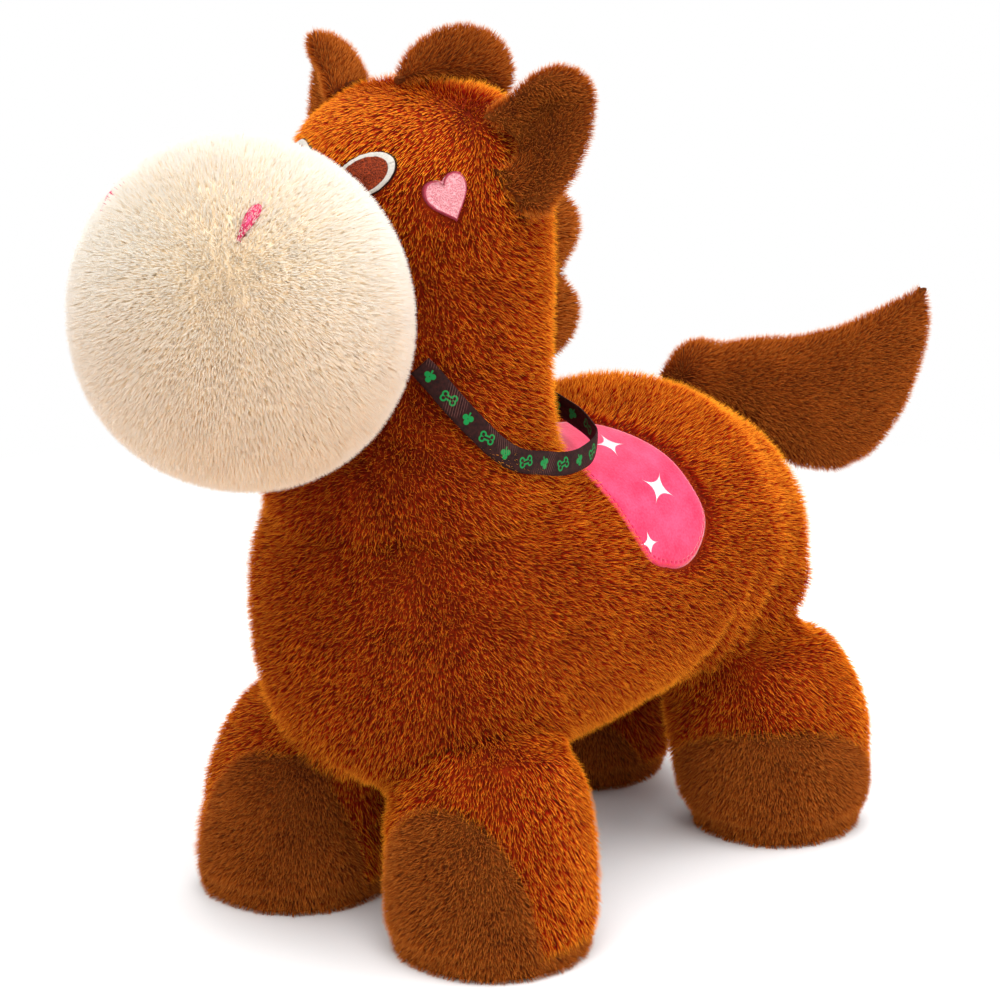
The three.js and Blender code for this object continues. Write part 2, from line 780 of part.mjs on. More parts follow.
// The assembly, set down with the middle of its outline at the origin
function mesh({ name, shape, fabric, point }) {
  const { vertProperties, triVerts } = shape.getMesh();
  const geometry = new THREE.BufferGeometry();
  geometry.setAttribute('position', new THREE.BufferAttribute(vertProperties, 3));
  geometry.setIndex(new THREE.BufferAttribute(triVerts, 1));
  geometry.translate(-point.x, -point.y, -point.z);
  geometry.computeVertexNormals();
  const part = new THREE.Mesh(geometry, new THREE.MeshStandardMaterial(fabrics[fabric]));
  part.name = name;
  part.position.copy(point);
  return part;
}

const group = new THREE.Group();
group.add(...pieces.map(mesh));
const middle = new THREE.Box3().setFromObject(group).getCenter(new THREE.Vector3());
group.position.set(-middle.x, -middle.y, 0);

export default group;
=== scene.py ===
"""Plush horse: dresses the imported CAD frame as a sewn, stuffed toy of pile fabric. Lengths are in metres."""
import math

import bmesh
import bpy
import numpy as np
from mathutils import Matrix, Vector
from mathutils.bvhtree import BVHTree


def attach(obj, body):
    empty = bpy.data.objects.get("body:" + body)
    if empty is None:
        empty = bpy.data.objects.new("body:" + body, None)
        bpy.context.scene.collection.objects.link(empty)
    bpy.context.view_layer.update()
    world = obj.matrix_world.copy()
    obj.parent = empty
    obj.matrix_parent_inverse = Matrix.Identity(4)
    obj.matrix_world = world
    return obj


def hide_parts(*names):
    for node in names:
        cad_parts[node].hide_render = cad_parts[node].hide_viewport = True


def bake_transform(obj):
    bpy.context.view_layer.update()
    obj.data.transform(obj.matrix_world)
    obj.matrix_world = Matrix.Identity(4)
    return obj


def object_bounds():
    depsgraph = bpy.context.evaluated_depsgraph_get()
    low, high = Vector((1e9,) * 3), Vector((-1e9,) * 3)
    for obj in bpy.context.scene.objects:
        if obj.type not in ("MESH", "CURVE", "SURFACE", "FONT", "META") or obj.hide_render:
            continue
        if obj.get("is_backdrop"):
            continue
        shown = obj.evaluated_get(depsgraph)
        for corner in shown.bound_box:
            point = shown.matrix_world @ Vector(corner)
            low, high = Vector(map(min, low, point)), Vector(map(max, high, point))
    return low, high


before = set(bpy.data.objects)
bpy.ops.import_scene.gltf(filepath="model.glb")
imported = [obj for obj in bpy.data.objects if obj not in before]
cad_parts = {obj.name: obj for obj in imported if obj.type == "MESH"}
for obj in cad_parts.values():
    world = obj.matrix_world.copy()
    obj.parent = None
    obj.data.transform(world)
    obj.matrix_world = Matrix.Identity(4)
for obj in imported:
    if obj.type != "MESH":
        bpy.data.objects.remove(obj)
cad_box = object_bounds()

# Camera: at the photograph's angle, in front of the horse's left shoulder and a little above it.
camera_aim = Vector((-0.0267, 0.0185, 0.1587))


def new_object(name, data):
    made = bpy.data.objects.new(name, data)
    bpy.context.collection.objects.link(made)
    return made


def looking(name, data, aim, bearing, rise, distance):
    """A camera or lamp that looks at a place from a bearing round the horse and a rise above the floor"""
    turn, lift = math.radians(bearing), math.radians(rise)
    away = Vector((math.sin(turn) * math.cos(lift), -math.cos(turn) * math.cos(lift), math.sin(lift)))
    made = new_object(name, data)
    made.location = aim + away * distance
    made.rotation_euler = away.to_track_quat("Z", "Y").to_euler()
    return made


camera = looking("camera", bpy.data.cameras.new("camera"), camera_aim, bearing=40.7, rise=16.0, distance=1.7)
camera.data.lens = 137.7
camera.data.sensor_width = 36.0
bpy.context.scene.camera = camera
bpy.context.scene.view_settings.view_transform = "Standard"

# Body: torso, head with neck and four legs, cut from one rust plush and sewn into one stuffed form,
# with brown toe caps let into the feet. The pile stands up to the CAD solids' outer faces, so the
# backing lies a pile's depth below them.
rust_depth = 0.0042
brown_depth = 0.003
body_voxel = 0.004
legs = ("front_left", "front_right", "rear_left", "rear_right")
foot_parts = [f"{part}_{leg}" for leg in legs for part in ("leg", "toe_cap", "sole")]
body_parts = ["torso", "head_neck", *foot_parts]
body_fillings = ["torso_stuffing", "head_stuffing", *(f"leg_stuffing_{leg}" for leg in legs)]


def joined(names):
    """One mesh with the faces of several CAD nodes"""
    corners, faces = [], []
    for name in names:
        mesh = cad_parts[name].data
        first = len(corners)
        corners += [vertex.co.copy() for vertex in mesh.vertices]
        faces += [[first + corner for corner in face.vertices] for face in mesh.polygons]
    mesh = bpy.data.meshes.new("joined")
    mesh.from_pydata(corners, [], faces)
    return mesh


def settle(piece):
    """Makes what the modifiers show the piece's own mesh"""
    seen = piece.evaluated_get(bpy.context.evaluated_depsgraph_get())
    mesh = bpy.data.meshes.new_from_object(seen)
    piece.modifiers.clear()
    piece.data = mesh
    return piece


def outer_shell(mesh):
    """Leaves only the largest of a mesh's separate surfaces"""
    work = bmesh.new()
    work.from_mesh(mesh)
    work.verts.ensure_lookup_table()
    unseen = set(range(len(work.verts)))
    shells = []
    while unseen:
        shell = {unseen.pop()}
        front = list(shell)
        while front:
            for edge in work.verts[front.pop()].link_edges:
                for corner in edge.verts:
                    if corner.index in unseen:
                        unseen.discard(corner.index)
                        shell.add(corner.index)
                        front.append(corner.index)
        shells.append(shell)
    keep = max(shells, key=len)
    others = [corner for corner in work.verts if corner.index not in keep]
    bmesh.ops.delete(work, geom=others, context="VERTS")
    work.to_mesh(mesh)
    work.free()


def smoothed(piece, rounds):
    """Draws every corner towards the middle of its neighbours"""
    rounding = piece.modifiers.new("rounding", "SMOOTH")
    rounding.factor = 0.5
    rounding.iterations = rounds
    return settle(piece)


def remeshed(name, mesh, voxel, rounds):
    """The outer surface of a mesh as even, rounded faces"""
    piece = new_object(name, mesh)
    cover = piece.modifiers.new("cover", "REMESH")
    cover.mode = "VOXEL"
    cover.voxel_size = voxel
    outer_shell(settle(piece).data)
    return smoothed(piece, rounds)


def sunk(piece, depth, corners=None):
    """Moves the surface, or some corners of it, inwards along its normals"""
    press = piece.modifiers.new("press", "DISPLACE")
    press.mid_level = 0.0
    press.strength = -depth
    if corners is not None:
        piece.vertex_groups.new(name="pressed").add(corners, 1.0, "REPLACE")
        press.vertex_group = "pressed"
    settle(piece)
    piece.vertex_groups.clear()
    return piece


def surface_of(mesh):
    corners = [vertex.co.copy() for vertex in mesh.vertices]
    return BVHTree.FromPolygons(corners, [list(face.vertices) for face in mesh.polygons])


def nearest_parts(mesh, names):
    """For each face, the CAD node that lies closest to it"""
    trees = [surface_of(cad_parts[name].data) for name in names]
    return [
        names[min(range(len(trees)), key=lambda tree: trees[tree].find_nearest(face.center)[3])]
        for face in mesh.polygons
    ]


def smooth_seams(mesh, parts, rounds=12):
    """Evens out the lines where faces of different parts meet; gives the parts that meet at each corner"""
    sides = {}
    for face, part in zip(mesh.polygons, parts):
        for edge in face.edge_keys:
            sides.setdefault(edge, set()).add(part)
    ends, seams = {}, {}
    for (a, b), meeting in sides.items():
        if len(meeting) > 1:
            ends.setdefault(a, []).append(b)
            ends.setdefault(b, []).append(a)
            seams.setdefault(a, set()).update(meeting)
            seams.setdefault(b, set()).update(meeting)
    corners = mesh.vertices
    for _ in range(rounds):
        moved = {
            here: (corners[here].co * 2 + corners[there[0]].co + corners[there[1]].co) / 4
            for here, there in ends.items()
            if len(there) == 2
        }
        for here, place in moved.items():
            corners[here].co = place
    mesh.update()
    return seams


def smooth_mesh(name, corners, faces):
    mesh = bpy.data.meshes.new(name)
    mesh.from_pydata(corners, [], faces)
    mesh.polygons.foreach_set("use_smooth", [True] * len(faces))
    return mesh


def panel(name, source, keep):
    """The faces of a mesh that are kept, as an object of its own"""
    used = sorted({corner for index in keep for corner in source.polygons[index].vertices})
    place = {corner: number for number, corner in enumerate(used)}
    corners = [source.vertices[corner].co.copy() for corner in used]
    faces = [[place[corner] for corner in source.polygons[index].vertices] for index in keep]
    return new_object(name, smooth_mesh(name, corners, faces))


def stuffed(piece, sewn, slack, pressure=80.0, growth=0.015, mass=0.001, frames=20):
    """Swells a skin by cloth simulation, from a quarter of its slack inside, held where it is sewn"""
    sunk(piece, slack / 4)
    start = [vertex.co.copy() for vertex in piece.data.vertices]
    piece.vertex_groups.new(name="sewn").add(sewn, 1.0, "REPLACE")
    cloth = piece.modifiers.new("cloth", "CLOTH")
    cloth.settings.use_pressure = True
    cloth.settings.uniform_pressure_force = pressure
    cloth.settings.vertex_group_mass = "sewn"
    cloth.settings.shrink_min = -growth
    cloth.settings.mass = mass
    cloth.settings.effector_weights.gravity = 0.0
    cloth.point_cache.frame_end = frames
    for step in range(1, frames + 1):
        bpy.context.scene.frame_set(step)
    settle(piece)
    bpy.context.scene.frame_set(1)
    piece.vertex_groups.clear()
    for vertex, place in zip(piece.data.vertices, start):
        way = vertex.co - place
        if way.length > slack:
            vertex.co = place + way.normalized() * slack
    piece.data.update()


# Where the stuffing fills the skin out more than the frame: centre, reach and move of each spot. A spot
# beside the middle has a twin on the right.
left_spots = (
    ((0.0, -0.115, 0.335), (0.075, 0.055, 0.045), (0.0, -0.0085, 0.0)),
    ((0.0, 0.085, 0.215), (0.09, 0.06, 0.045), (0.0, 0.0, 0.005)),
    ((0.068, 0.112, 0.165), (0.03, 0.04, 0.034), (-0.005, -0.003, -0.002)),
    ((0.066, 0.118, 0.108), (0.03, 0.04, 0.026), (0.006, 0.004, 0.0)),
    ((0.0, -0.09, 0.165), (0.09, 0.06, 0.05), (0.0, -0.004, 0.0)),
    ((0.07, 0.125, 0.055), (0.05, 0.06, 0.07), (0.004, 0.004, 0.0)),
)


def on_side(side, spots):
    """Spots of the left side as they are, or mirrored to the right"""
    return [((side * x, y, z), reach, (side * across, *move)) for (x, y, z), reach, (across, *move) in spots]


def filled_out(mesh, spots):
    for vertex in mesh.vertices:
        place = vertex.co.copy()
        for centre, reach, move in spots:
            apart = sum(((place[axis] - centre[axis]) / reach[axis]) ** 2 for axis in range(3))
            vertex.co += Vector(move) * max(1.0 - apart, 0.0) ** 2
    mesh.update()


def rounded_feet(mesh, height, inset):
    """Draws the feet in towards the floor"""
    sideways = [Vector((vertex.normal.x, vertex.normal.y, 0.0)) for vertex in mesh.vertices]
    for vertex, way in zip(mesh.vertices, sideways):
        vertex.co -= way * inset * max(1.0 - vertex.co.z / height, 0.0) ** 2
    mesh.update()


standing_below = 0.004
sole_height = 0.001
body = remeshed("body", joined(body_parts + body_fillings), body_voxel, rounds=6)
filled_out(body.data, [*left_spots, *on_side(-1, (spot for spot in left_spots if spot[0][0]))])
rounded_feet(body.data, height=0.012, inset=0.003)
face_parts = nearest_parts(body.data, body_parts)
seams = smooth_seams(body.data, face_parts)
sewn = [corner for corner, meeting in seams.items() if meeting != {"torso", "head_neck"}]
standing = [vertex.index for vertex in body.data.vertices if vertex.co.z < standing_below]
stuffed(body, sewn + standing, slack=0.005)
form = smoothed(new_object("form", body.data.copy()), rounds=12)
outline = surface_of(form.data)
bpy.data.objects.remove(form)
long_piled = {
    corner for face, part in zip(body.data.polygons, face_parts) if not part.startswith(("toe_cap", "sole"))
    for corner in face.vertices
}
sunk(body, brown_depth)
sunk(body, rust_depth - brown_depth, sorted(long_piled))
for corner in standing:
    body.data.vertices[corner].co.z = sole_height
skins = {}
for part in body_parts:
    keep = [index for index, found in enumerate(face_parts) if found == part]
    skins[part] = panel(f"{part}_skin", body.data, keep)
bpy.data.objects.remove(body)

# Pile: every strand is a tapered fibre rooted in the backing. It leans the way the cloth was combed,
# in locks that share a lean, and its shade and its height are kept in a map for the material.
pile_map = "OFBake"
growth_settings = ("Density", "Length", "Width", "Lean", "Swirl", "Spread", "Lock size")


def add_node(tree, kind, inputs=None, **settings):
    """A node with its settings, its inputs set to values or linked to sockets"""
    made = tree.nodes.new(kind)
    for name, value in settings.items():
        setattr(made, name, value)
    for key, value in (inputs or {}).items():
        if isinstance(value, bpy.types.NodeSocket):
            tree.links.new(value, made.inputs[key])
        else:
            made.inputs[key].default_value = value
    return made


def result(tree, kind, socket, inputs=None, **settings):
    """One output of a new node"""
    return add_node(tree, kind, inputs, **settings).outputs[socket]


def group_of(name, inputs, outputs, kind="ShaderNodeTree"):
    """An empty node group, with its ends"""
    tree = bpy.data.node_groups.new(name, kind)
    for names, way in ((inputs, "INPUT"), (outputs, "OUTPUT")):
        for socket, sort in names.items():
            tree.interface.new_socket(socket, in_out=way, socket_type=f"NodeSocket{sort}")
    return tree, tree.nodes.new("NodeGroupInput").outputs, tree.nodes.new("NodeGroupOutput").inputs


def sums(tree):
    """Short forms for the nodes that reckon in one tree"""
    def number(operation, *values):
        return result(tree, "ShaderNodeMath", 0, dict(enumerate(values)), operation=operation)

    def zone(value, least, most, low=0.0, high=1.0):
        ends = {"Value": value, "From Min": least, "From Max": most, "To Min": low, "To Max": high}
        return result(tree, "ShaderNodeMapRange", 0, ends)

    def mixed(share, first, second, **settings):
        inputs = {0: share, 6: first, 7: second}
        return result(tree, "ShaderNodeMix", 2, inputs, data_type="RGBA", **settings)

    return number, zone, mixed


def pile_tree():
    """Nodes that grow strands out of a surface"""
    floats = dict.fromkeys(growth_settings, "Float")
    inputs = {"Cloth": "Geometry", **floats, "Pressed by": "Object", "Seed": "Int", "Material": "Material"}
    tree, start, end = group_of("pile", inputs, {"Pile": "Geometry"}, "GeometryNodeTree")
    number, _, _ = sums(tree)

    def vectors(operation, *values):
        socket = "Value" if operation in ("DOT_PRODUCT", "LENGTH") else "Vector"
        return result(tree, "ShaderNodeVectorMath", socket, dict(enumerate(values)), operation=operation)

    def scaled(vector, amount):
        return result(tree, "ShaderNodeVectorMath", "Vector", {0: vector, "Scale": amount}, operation="SCALE")

    def random(least, most):
        return result(
            tree, "FunctionNodeRandomValue", 1, {2: least, 3: most, 8: start["Seed"]}, data_type="FLOAT",
        )

    def read(name, kind="FLOAT"):
        return result(tree, "GeometryNodeInputNamedAttribute", "Attribute", {"Name": name}, data_type=kind)

    def stored(geometry, name, value, kind, domain):
        inputs = {"Geometry": geometry, "Name": name, "Value": value}
        return result(
            tree, "GeometryNodeStoreNamedAttribute", "Geometry", inputs, data_type=kind, domain=domain,
        )

    roots = add_node(
        tree, "GeometryNodeDistributePointsOnFaces",
        {"Mesh": start["Cloth"], "Density": start["Density"], "Seed": start["Seed"]},
    ).outputs
    upright = roots["Normal"]
    place = result(tree, "GeometryNodeInputPosition", "Position")
    lock_scale = number("DIVIDE", 1.0, start["Lock size"])
    lock = add_node(tree, "ShaderNodeTexNoise", {"Vector": place, "Scale": lock_scale, "Detail": 3.0}).outputs
    lock_lean = scaled(vectors("SUBTRACT", lock["Color"], (0.5, 0.5, 0.5)), start["Swirl"])
    own = result(
        tree, "FunctionNodeRandomValue", 0,
        {0: (-1.0, -1.0, -1.0), 1: (1.0, 1.0, 1.0), 8: start["Seed"]}, data_type="FLOAT_VECTOR",
    )
    combed = vectors("ADD", read("comb", "FLOAT_VECTOR"), lock_lean)
    level = vectors("SUBTRACT", combed, scaled(upright, vectors("DOT_PRODUCT", combed, upright)))
    flat = scaled(level, start["Lean"])
    leaning = vectors("ADD", vectors("ADD", upright, flat), scaled(own, start["Spread"]))
    turned = result(tree, "FunctionNodeAlignRotationToVector", "Rotation", {"Vector": leaning}, axis="Z")

    cone = {"Vertices": 3, "Radius Top": 0.0, "Radius Bottom": 0.5, "Depth": 1.0}
    marked = result(tree, "GeometryNodeMeshCone", "Mesh", cone)
    parts = add_node(tree, "ShaderNodeSeparateXYZ", {0: place}).outputs
    for name, value in (("height", parts["Z"]), ("around", parts["X"])):
        marked = stored(marked, name, value, "FLOAT", "POINT")

    # A strand is up to 15 percent longer than its dye's length, and under a trim twice as long as its room.
    shortest = number("MULTIPLY_ADD", start["Spread"], -1.2, 1.1)
    stretch = random(shortest, 1.15)
    trim = result(tree, "GeometryNodeObjectInfo", "Geometry", {"Object": start["Pressed by"]})
    reach = {0: trim, "Sample Position": place}
    room = result(tree, "GeometryNodeProximity", "Distance", reach, target_element="FACES")
    long = number("MINIMUM", number("MULTIPLY", start["Length"], stretch), number("MULTIPLY", room, 2.0))
    girth = {"X": start["Width"], "Y": start["Width"], "Z": long}
    strands = result(tree, "GeometryNodeInstanceOnPoints", "Instances", {
        "Points": stored(roots["Points"], "lie", leaning, "FLOAT_VECTOR", "POINT"),
        "Instance": marked, "Rotation": turned,
        "Scale": result(tree, "ShaderNodeCombineXYZ", "Vector", girth),
    })

    # Its tone is mostly its lock's, then its own, and painted brighter where the comb lays it flat, mostly on
    # the tops, the rear sides and the forehead, where the light falls: a painted highlight.
    tone = random(0.0, 1.0)
    flatness = vectors("LENGTH", flat)
    mottled = number("ADD", number("MULTIPLY", tone, 0.25), number("MULTIPLY", lock[0], 0.55))
    shade = number("MINIMUM", number("MULTIPLY_ADD", flatness, 0.3, mottled), 1.0)
    shaded = stored(strands, "shade", shade, "FLOAT", "INSTANCE")
    facing = stored(shaded, "facing", read("lie", "FLOAT_VECTOR"), "FLOAT_VECTOR", "INSTANCE")
    real = result(tree, "GeometryNodeRealizeInstances", "Geometry", {"Geometry": facing})

    # The map holds the tone across and the height upwards, with a margin on every side.
    across = number("MULTIPLY_ADD", read("around"), 0.04, number("MULTIPLY_ADD", read("shade"), 0.9, 0.05))
    upwards = number("MULTIPLY_ADD", read("height"), 0.96, 0.02)
    spot = result(tree, "ShaderNodeCombineXYZ", "Vector", {"X": across, "Y": upwards})
    mapped = stored(real, pile_map, spot, "FLOAT2", "CORNER")
    soft = result(
        tree, "GeometryNodeSetMeshNormal", "Mesh",
        {"Mesh": mapped, "Custom Normal": read("facing", "FLOAT_VECTOR")}, mode="FREE", domain="POINT",
    )
    dyed = {"Geometry": soft, "Material": start["Material"]}
    tree.links.new(result(tree, "GeometryNodeSetMaterial", "Geometry", dyed), end["Pile"])
    return tree


pile_nodes = pile_tree()
pile_sockets = {entry.name: entry.identifier for entry in pile_nodes.interface.items_tree}
white = (1.0, 1.0, 1.0, 1.0)


def paint(red, green, blue):
    """A colour written as on a colour chart, 0 to 255, in the renderer's own scale"""
    return tuple(
        share / 12.92 if share <= 0.04045 else ((share + 0.055) / 1.055) ** 2.4
        for share in (red / 255, green / 255, blue / 255)
    ) + (1.0,)


def new_material(name, **constants):
    """A material with one shader, its constants set on the shader"""
    material = bpy.data.materials.new(name)
    material.use_nodes = True
    tree = material.node_tree
    tree.nodes.clear()
    sockets = {key.replace("_", " "): value for key, value in constants.items()}
    shader = add_node(tree, "ShaderNodeBsdfPrincipled", sockets)
    surface = tree.nodes.new("ShaderNodeOutputMaterial")
    tree.links.new(shader.outputs["BSDF"], surface.inputs["Surface"])
    return material, tree, shader


def split(tree, place):
    return add_node(tree, "ShaderNodeSeparateXYZ", {0: place}).outputs


def map_place(tree, name):
    return result(tree, "ShaderNodeUVMap", "UV", uv_map=name)


def speckle(tree, place, scale, detail=2.0):
    return result(tree, "ShaderNodeTexNoise", 0, {"Vector": place, "Scale": scale, "Detail": detail})


def relief(tree, shader, height, distance, strength=1.0):
    inputs = {"Strength": strength, "Distance": distance, "Height": height}
    tree.links.new(result(tree, "ShaderNodeBump", "Normal", inputs), shader.inputs["Normal"])


def use_group(tree, group, inputs):
    return add_node(tree, "ShaderNodeGroup", inputs, node_tree=group).outputs


def pile_colour_tree():
    """Nodes for the colour of a strand: dark at its root as painted shade deep in the pile, bright at its tip,
    each lock in its own tone
    """
    inputs = {"Root": "Color", "Middle": "Color", "Tip": "Color", "Dullest": "Float", "Brightest": "Float"}
    tree, start, end = group_of("pile_colour", inputs, {"Color": "Color"})
    number, zone, mixed = sums(tree)
    parts = split(tree, map_place(tree, pile_map))
    # A brighter tone, which holds the painted highlight of flat pile, starts the tip colour lower down the
    # strand.
    raised = number("MULTIPLY_ADD", parts["X"], 0.2, parts["Y"])
    height = number("SUBTRACT", raised, 0.1)
    lower = mixed(zone(height, 0.15, 0.55), start["Root"], start["Middle"])
    colour = mixed(zone(height, 0.5, 0.88), lower, start["Tip"])
    tone = zone(parts["X"], 0.25, 0.75, start["Dullest"], start["Brightest"])
    grey = result(tree, "ShaderNodeCombineColor", 0, {0: tone, 1: tone, 2: tone})
    tree.links.new(mixed(1.0, colour, grey, blend_type="MULTIPLY"), end["Color"])
    return tree


pile_colour = pile_colour_tree()


def pile_material(name, root, middle, tip, dullest, brightest, sheen, clear=0.0, warmed=None):
    """Strands in one dye; a pale pile can be painted warmer below, a painted glow of the light that the rust
    plush throws back on it
    """
    material, tree, shader = new_material(
        name, Roughness=0.8, Specular_IOR_Level=0.08, Sheen_Weight=sheen, Sheen_Roughness=0.4, Sheen_Tint=tip,
        Subsurface_Weight=clear, Subsurface_Radius=(1.0, 0.9, 0.8), Subsurface_Scale=0.001,
    )
    _, zone, mixed = sums(tree)
    colours = {"Root": root, "Middle": middle, "Tip": tip, "Dullest": dullest, "Brightest": brightest}
    colour = use_group(tree, pile_colour, colours)["Color"]
    if warmed:
        glow, low, high = warmed
        # Painted glow: warmer towards the bottom, as if lit by light thrown back from the rust plush.
        rise = split(tree, result(tree, "ShaderNodeTexCoord", "Object"))["Z"]
        colour = mixed(1.0, colour, mixed(zone(rise, low, high), glow, white), blend_type="MULTIPLY")
    tree.links.new(colour, shader.inputs["Base Color"])
    return material


def backing_material(name, dark, light):
    """The cloth that the strands stand in, seen only between them: dark, as painted shade down in the pile,
    with a fine streaked grain
    """
    material, tree, shader = new_material(name, Roughness=0.95, Specular_IOR_Level=0.1)
    number, zone, mixed = sums(tree)
    place = result(tree, "ShaderNodeTexCoord", "Object")
    grain = speckle(tree, place, 900.0, 3.0)
    both = number("MULTIPLY", grain, speckle(tree, place, 70.0))
    tree.links.new(mixed(zone(both, 0.12, 0.4), dark, light), shader.inputs["Base Color"])
    relief(tree, shader, grain, 0.001, 0.5)
    return material


def plush(name, dyes, tones, sheen, backing, growth, **extra):
    """A sort of plush: the look of its strands and of its backing, and how it grows"""
    return {
        "slot": f"{name}_plush",
        "strands": pile_material(f"{name}_pile", *(paint(*dye) for dye in dyes), *tones, sheen, **extra),
        "backing": backing_material(f"{name}_backing", *(paint(*dye) for dye in backing)),
        "growth": dict(zip(growth_settings, growth)),
    }


# The first dye of each sort, at the strands' roots, and its backing are darker as painted shade deep in the
# pile.
fabrics = {
    "rust": plush(
        "rust", ((116, 12, 0), (170, 30, 0), (255, 162, 36)), tones=(0.84, 1.22), sheen=0.4,
        backing=((84, 14, 0), (140, 40, 4)), growth=(880000, 0.0058, 0.00044, 0.75, 1.1, 0.35, 0.02),
    ),
    "cream": plush(
        "cream", ((255, 232, 198), (255, 244, 226), (243, 240, 231)), tones=(0.98, 1.01), sheen=0.0,
        backing=((254, 236, 206), (255, 242, 218)), growth=(2200000, 0.005, 0.0005, 0.7, 0.18, 0.16, 0.03),
        # The cream is painted warmer below, a painted glow of light from the rust plush.
        clear=0.85, warmed=(paint(255, 222, 184), 0.215, 0.315),
    ),
    "brown": plush(
        "brown", ((116, 44, 4), (164, 74, 12), (222, 134, 52)), tones=(0.82, 1.16), sheen=0.6,
        backing=((74, 28, 4), (120, 62, 16)), growth=(1800000, 0.004, 0.00037, 0.5, 0.8, 0.35, 0.02),
    ),
}
backing_thickness = 0.0015
sole_facing = -0.8


def grown(name, cloth, fabric, comb, seed):
    """A piece of pile on the faces of a cloth"""
    sort = fabrics[fabric]
    pile = new_object(name, cloth.data.copy())
    lie = pile.data.attributes.new("comb", "FLOAT_VECTOR", "POINT")
    for vertex, entry in zip(pile.data.vertices, lie.data):
        entry.vector = comb(vertex.co, vertex.normal)
    growth = pile.modifiers.new("growth", "NODES")
    growth.node_group = pile_nodes
    values = {**sort["growth"], "Pressed by": pressing, "Seed": seed, "Material": sort["strands"]}
    for key, value in values.items():
        growth[pile_sockets[key]] = value
    settle(pile)
    pile.data.materials.clear()
    pile.data.materials.append(sort["strands"])
    pile.data.polygons.foreach_set("material_index", [0] * len(pile.data.polygons))
    return pile


def thickened(piece, thickness):
    """Gives a cloth its thickness, inwards from the face that shows"""
    layer = piece.modifiers.new("layer", "SOLIDIFY")
    layer.thickness = thickness
    layer.offset = -1.0
    return settle(piece)


def backed(skin, fabric):
    """Gives a skin the thickness and the look of its backing"""
    thickened(skin, backing_thickness)
    skin.data.materials.clear()
    skin.data.materials.append(fabrics[fabric]["backing"])


def part_of(skin, side, above=None, below=None):
    """The faces of a skin on one side of the middle and, if asked, above or below a height"""
    faces = [
        face.index for face in skin.data.polygons
        if face.center.x * side > 0 and (above is None or face.center.z >= above)
        and (below is None or face.center.z < below)
    ]
    return panel(f"{skin.name}_part", skin.data, faces)


def outside(skin, hidden_below=0.009):
    """The faces of a skin that the body doesn't cover"""
    faces = []
    for face in skin.data.polygons:
        spot, normal, _, _ = outline.find_nearest(face.center)
        if (face.center - spot).dot(normal) > -hidden_below:
            faces.append(face.index)
    return panel(f"{skin.name}_open", skin.data, faces)


def follow_body(piece):
    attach(piece, "body")


cloths = []


def covered(skin, fabric, comb, follow, halved=False, level=None):
    """Notes the cloth that pile will grow on, gives the skin its backing and hands it to follow, which ties it
    to the body or fixes it in place
    """
    base = skin.name.replace("_skin", "_pile")
    shown = outside(skin)
    if "sole" in base:
        edge = [face.index for face in shown.data.polygons if face.normal.z > sole_facing]
        rim = panel(f"{base}_rim", shown.data, edge)
        bpy.data.objects.remove(shown)
        shown = rim
    if halved:
        bands = (("", {}),) if level is None else (("_upper", {"above": level}), ("_lower", {"below": level}))
        for side, hand in ((1, "left"), (-1, "right")):
            for band, limits in bands:
                half = part_of(shown, side, **limits)
                cloths.append((f"{base}_{hand}{band}", half, fabric, comb, follow))
        bpy.data.objects.remove(shown)
    else:
        cloths.append((base, shown, fabric, comb, follow))
    backed(skin, fabric)
    follow(skin)


def steady(*lie):
    """The same lie of the pile at every place"""
    return lambda place, normal: Vector(lie)


def lie_with_painted_light(lie):
    """A lie that is flat on top and towards the rear and upright in front; where it lies flat the strands are
    also painted brighter, a painted highlight where the light falls on the top and the rear
    """
    def laid(place, normal):
        rear = normal.dot(Vector((math.copysign(0.6, place.x), 0.8, 0)))
        return lie(place) * (0.4 + 0.8 * max(normal.z, 0.0) + 0.5 * max(rear, 0.0))
    return laid


def eased(way, width):
    """From 0 to 1 over a width"""
    return min(max(way / width, 0.0), 1.0)


def head_lie(place):
    """Down and back on the neck and cheeks, forwards and down on the forehead"""
    front = eased(-0.055 - place.y, 0.03) * eased(place.z - 0.29, 0.04)
    # The long lie on the forehead lays the pile flattest there, so it is painted brightest there: a painted
    # highlight.
    return Vector((0, 0.5, -0.85)).lerp(Vector((0, -2.6, -1.7)), front)


def torso_lie(place):
    """Down on the chest, turning back along the flanks"""
    back = eased(place.y + 0.12, 0.1)
    return Vector((0, 0.1, -0.8)).lerp(Vector((0, 0.6, -0.5)), back)


def leg_lie(side, end):
    """Down and outwards from the body"""
    return lambda place: Vector((0.5 * side, 0.5 * end, -1.5))


body_kinds = {"torso": "rust", "head_neck": "rust", "leg": "rust", "toe_cap": "brown", "sole": "brown"}
for part, skin in skins.items():
    kind = next(kind for kind in body_kinds if part.startswith(kind))
    legward = leg_lie(1 if "left" in part else -1, 1 if "rear" in part else -1)
    lie = {"torso": torso_lie, "head_neck": head_lie, "leg": legward}.get(kind)
    # The lie's length also sets the painted highlight of the strands.
    comb = lie_with_painted_light(lie) if lie else steady(0, 0, -0.7)
    covered(skin, body_kinds[kind], comb, follow_body, halved=kind in ("torso", "head_neck"))
    inner = {"torso": ["torso_stuffing"], "head_neck": ["head_stuffing"]}.get(part, [])
    if kind == "leg":
        inner = [part.replace("leg_", "leg_stuffing_")]
    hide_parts(part, *inner)

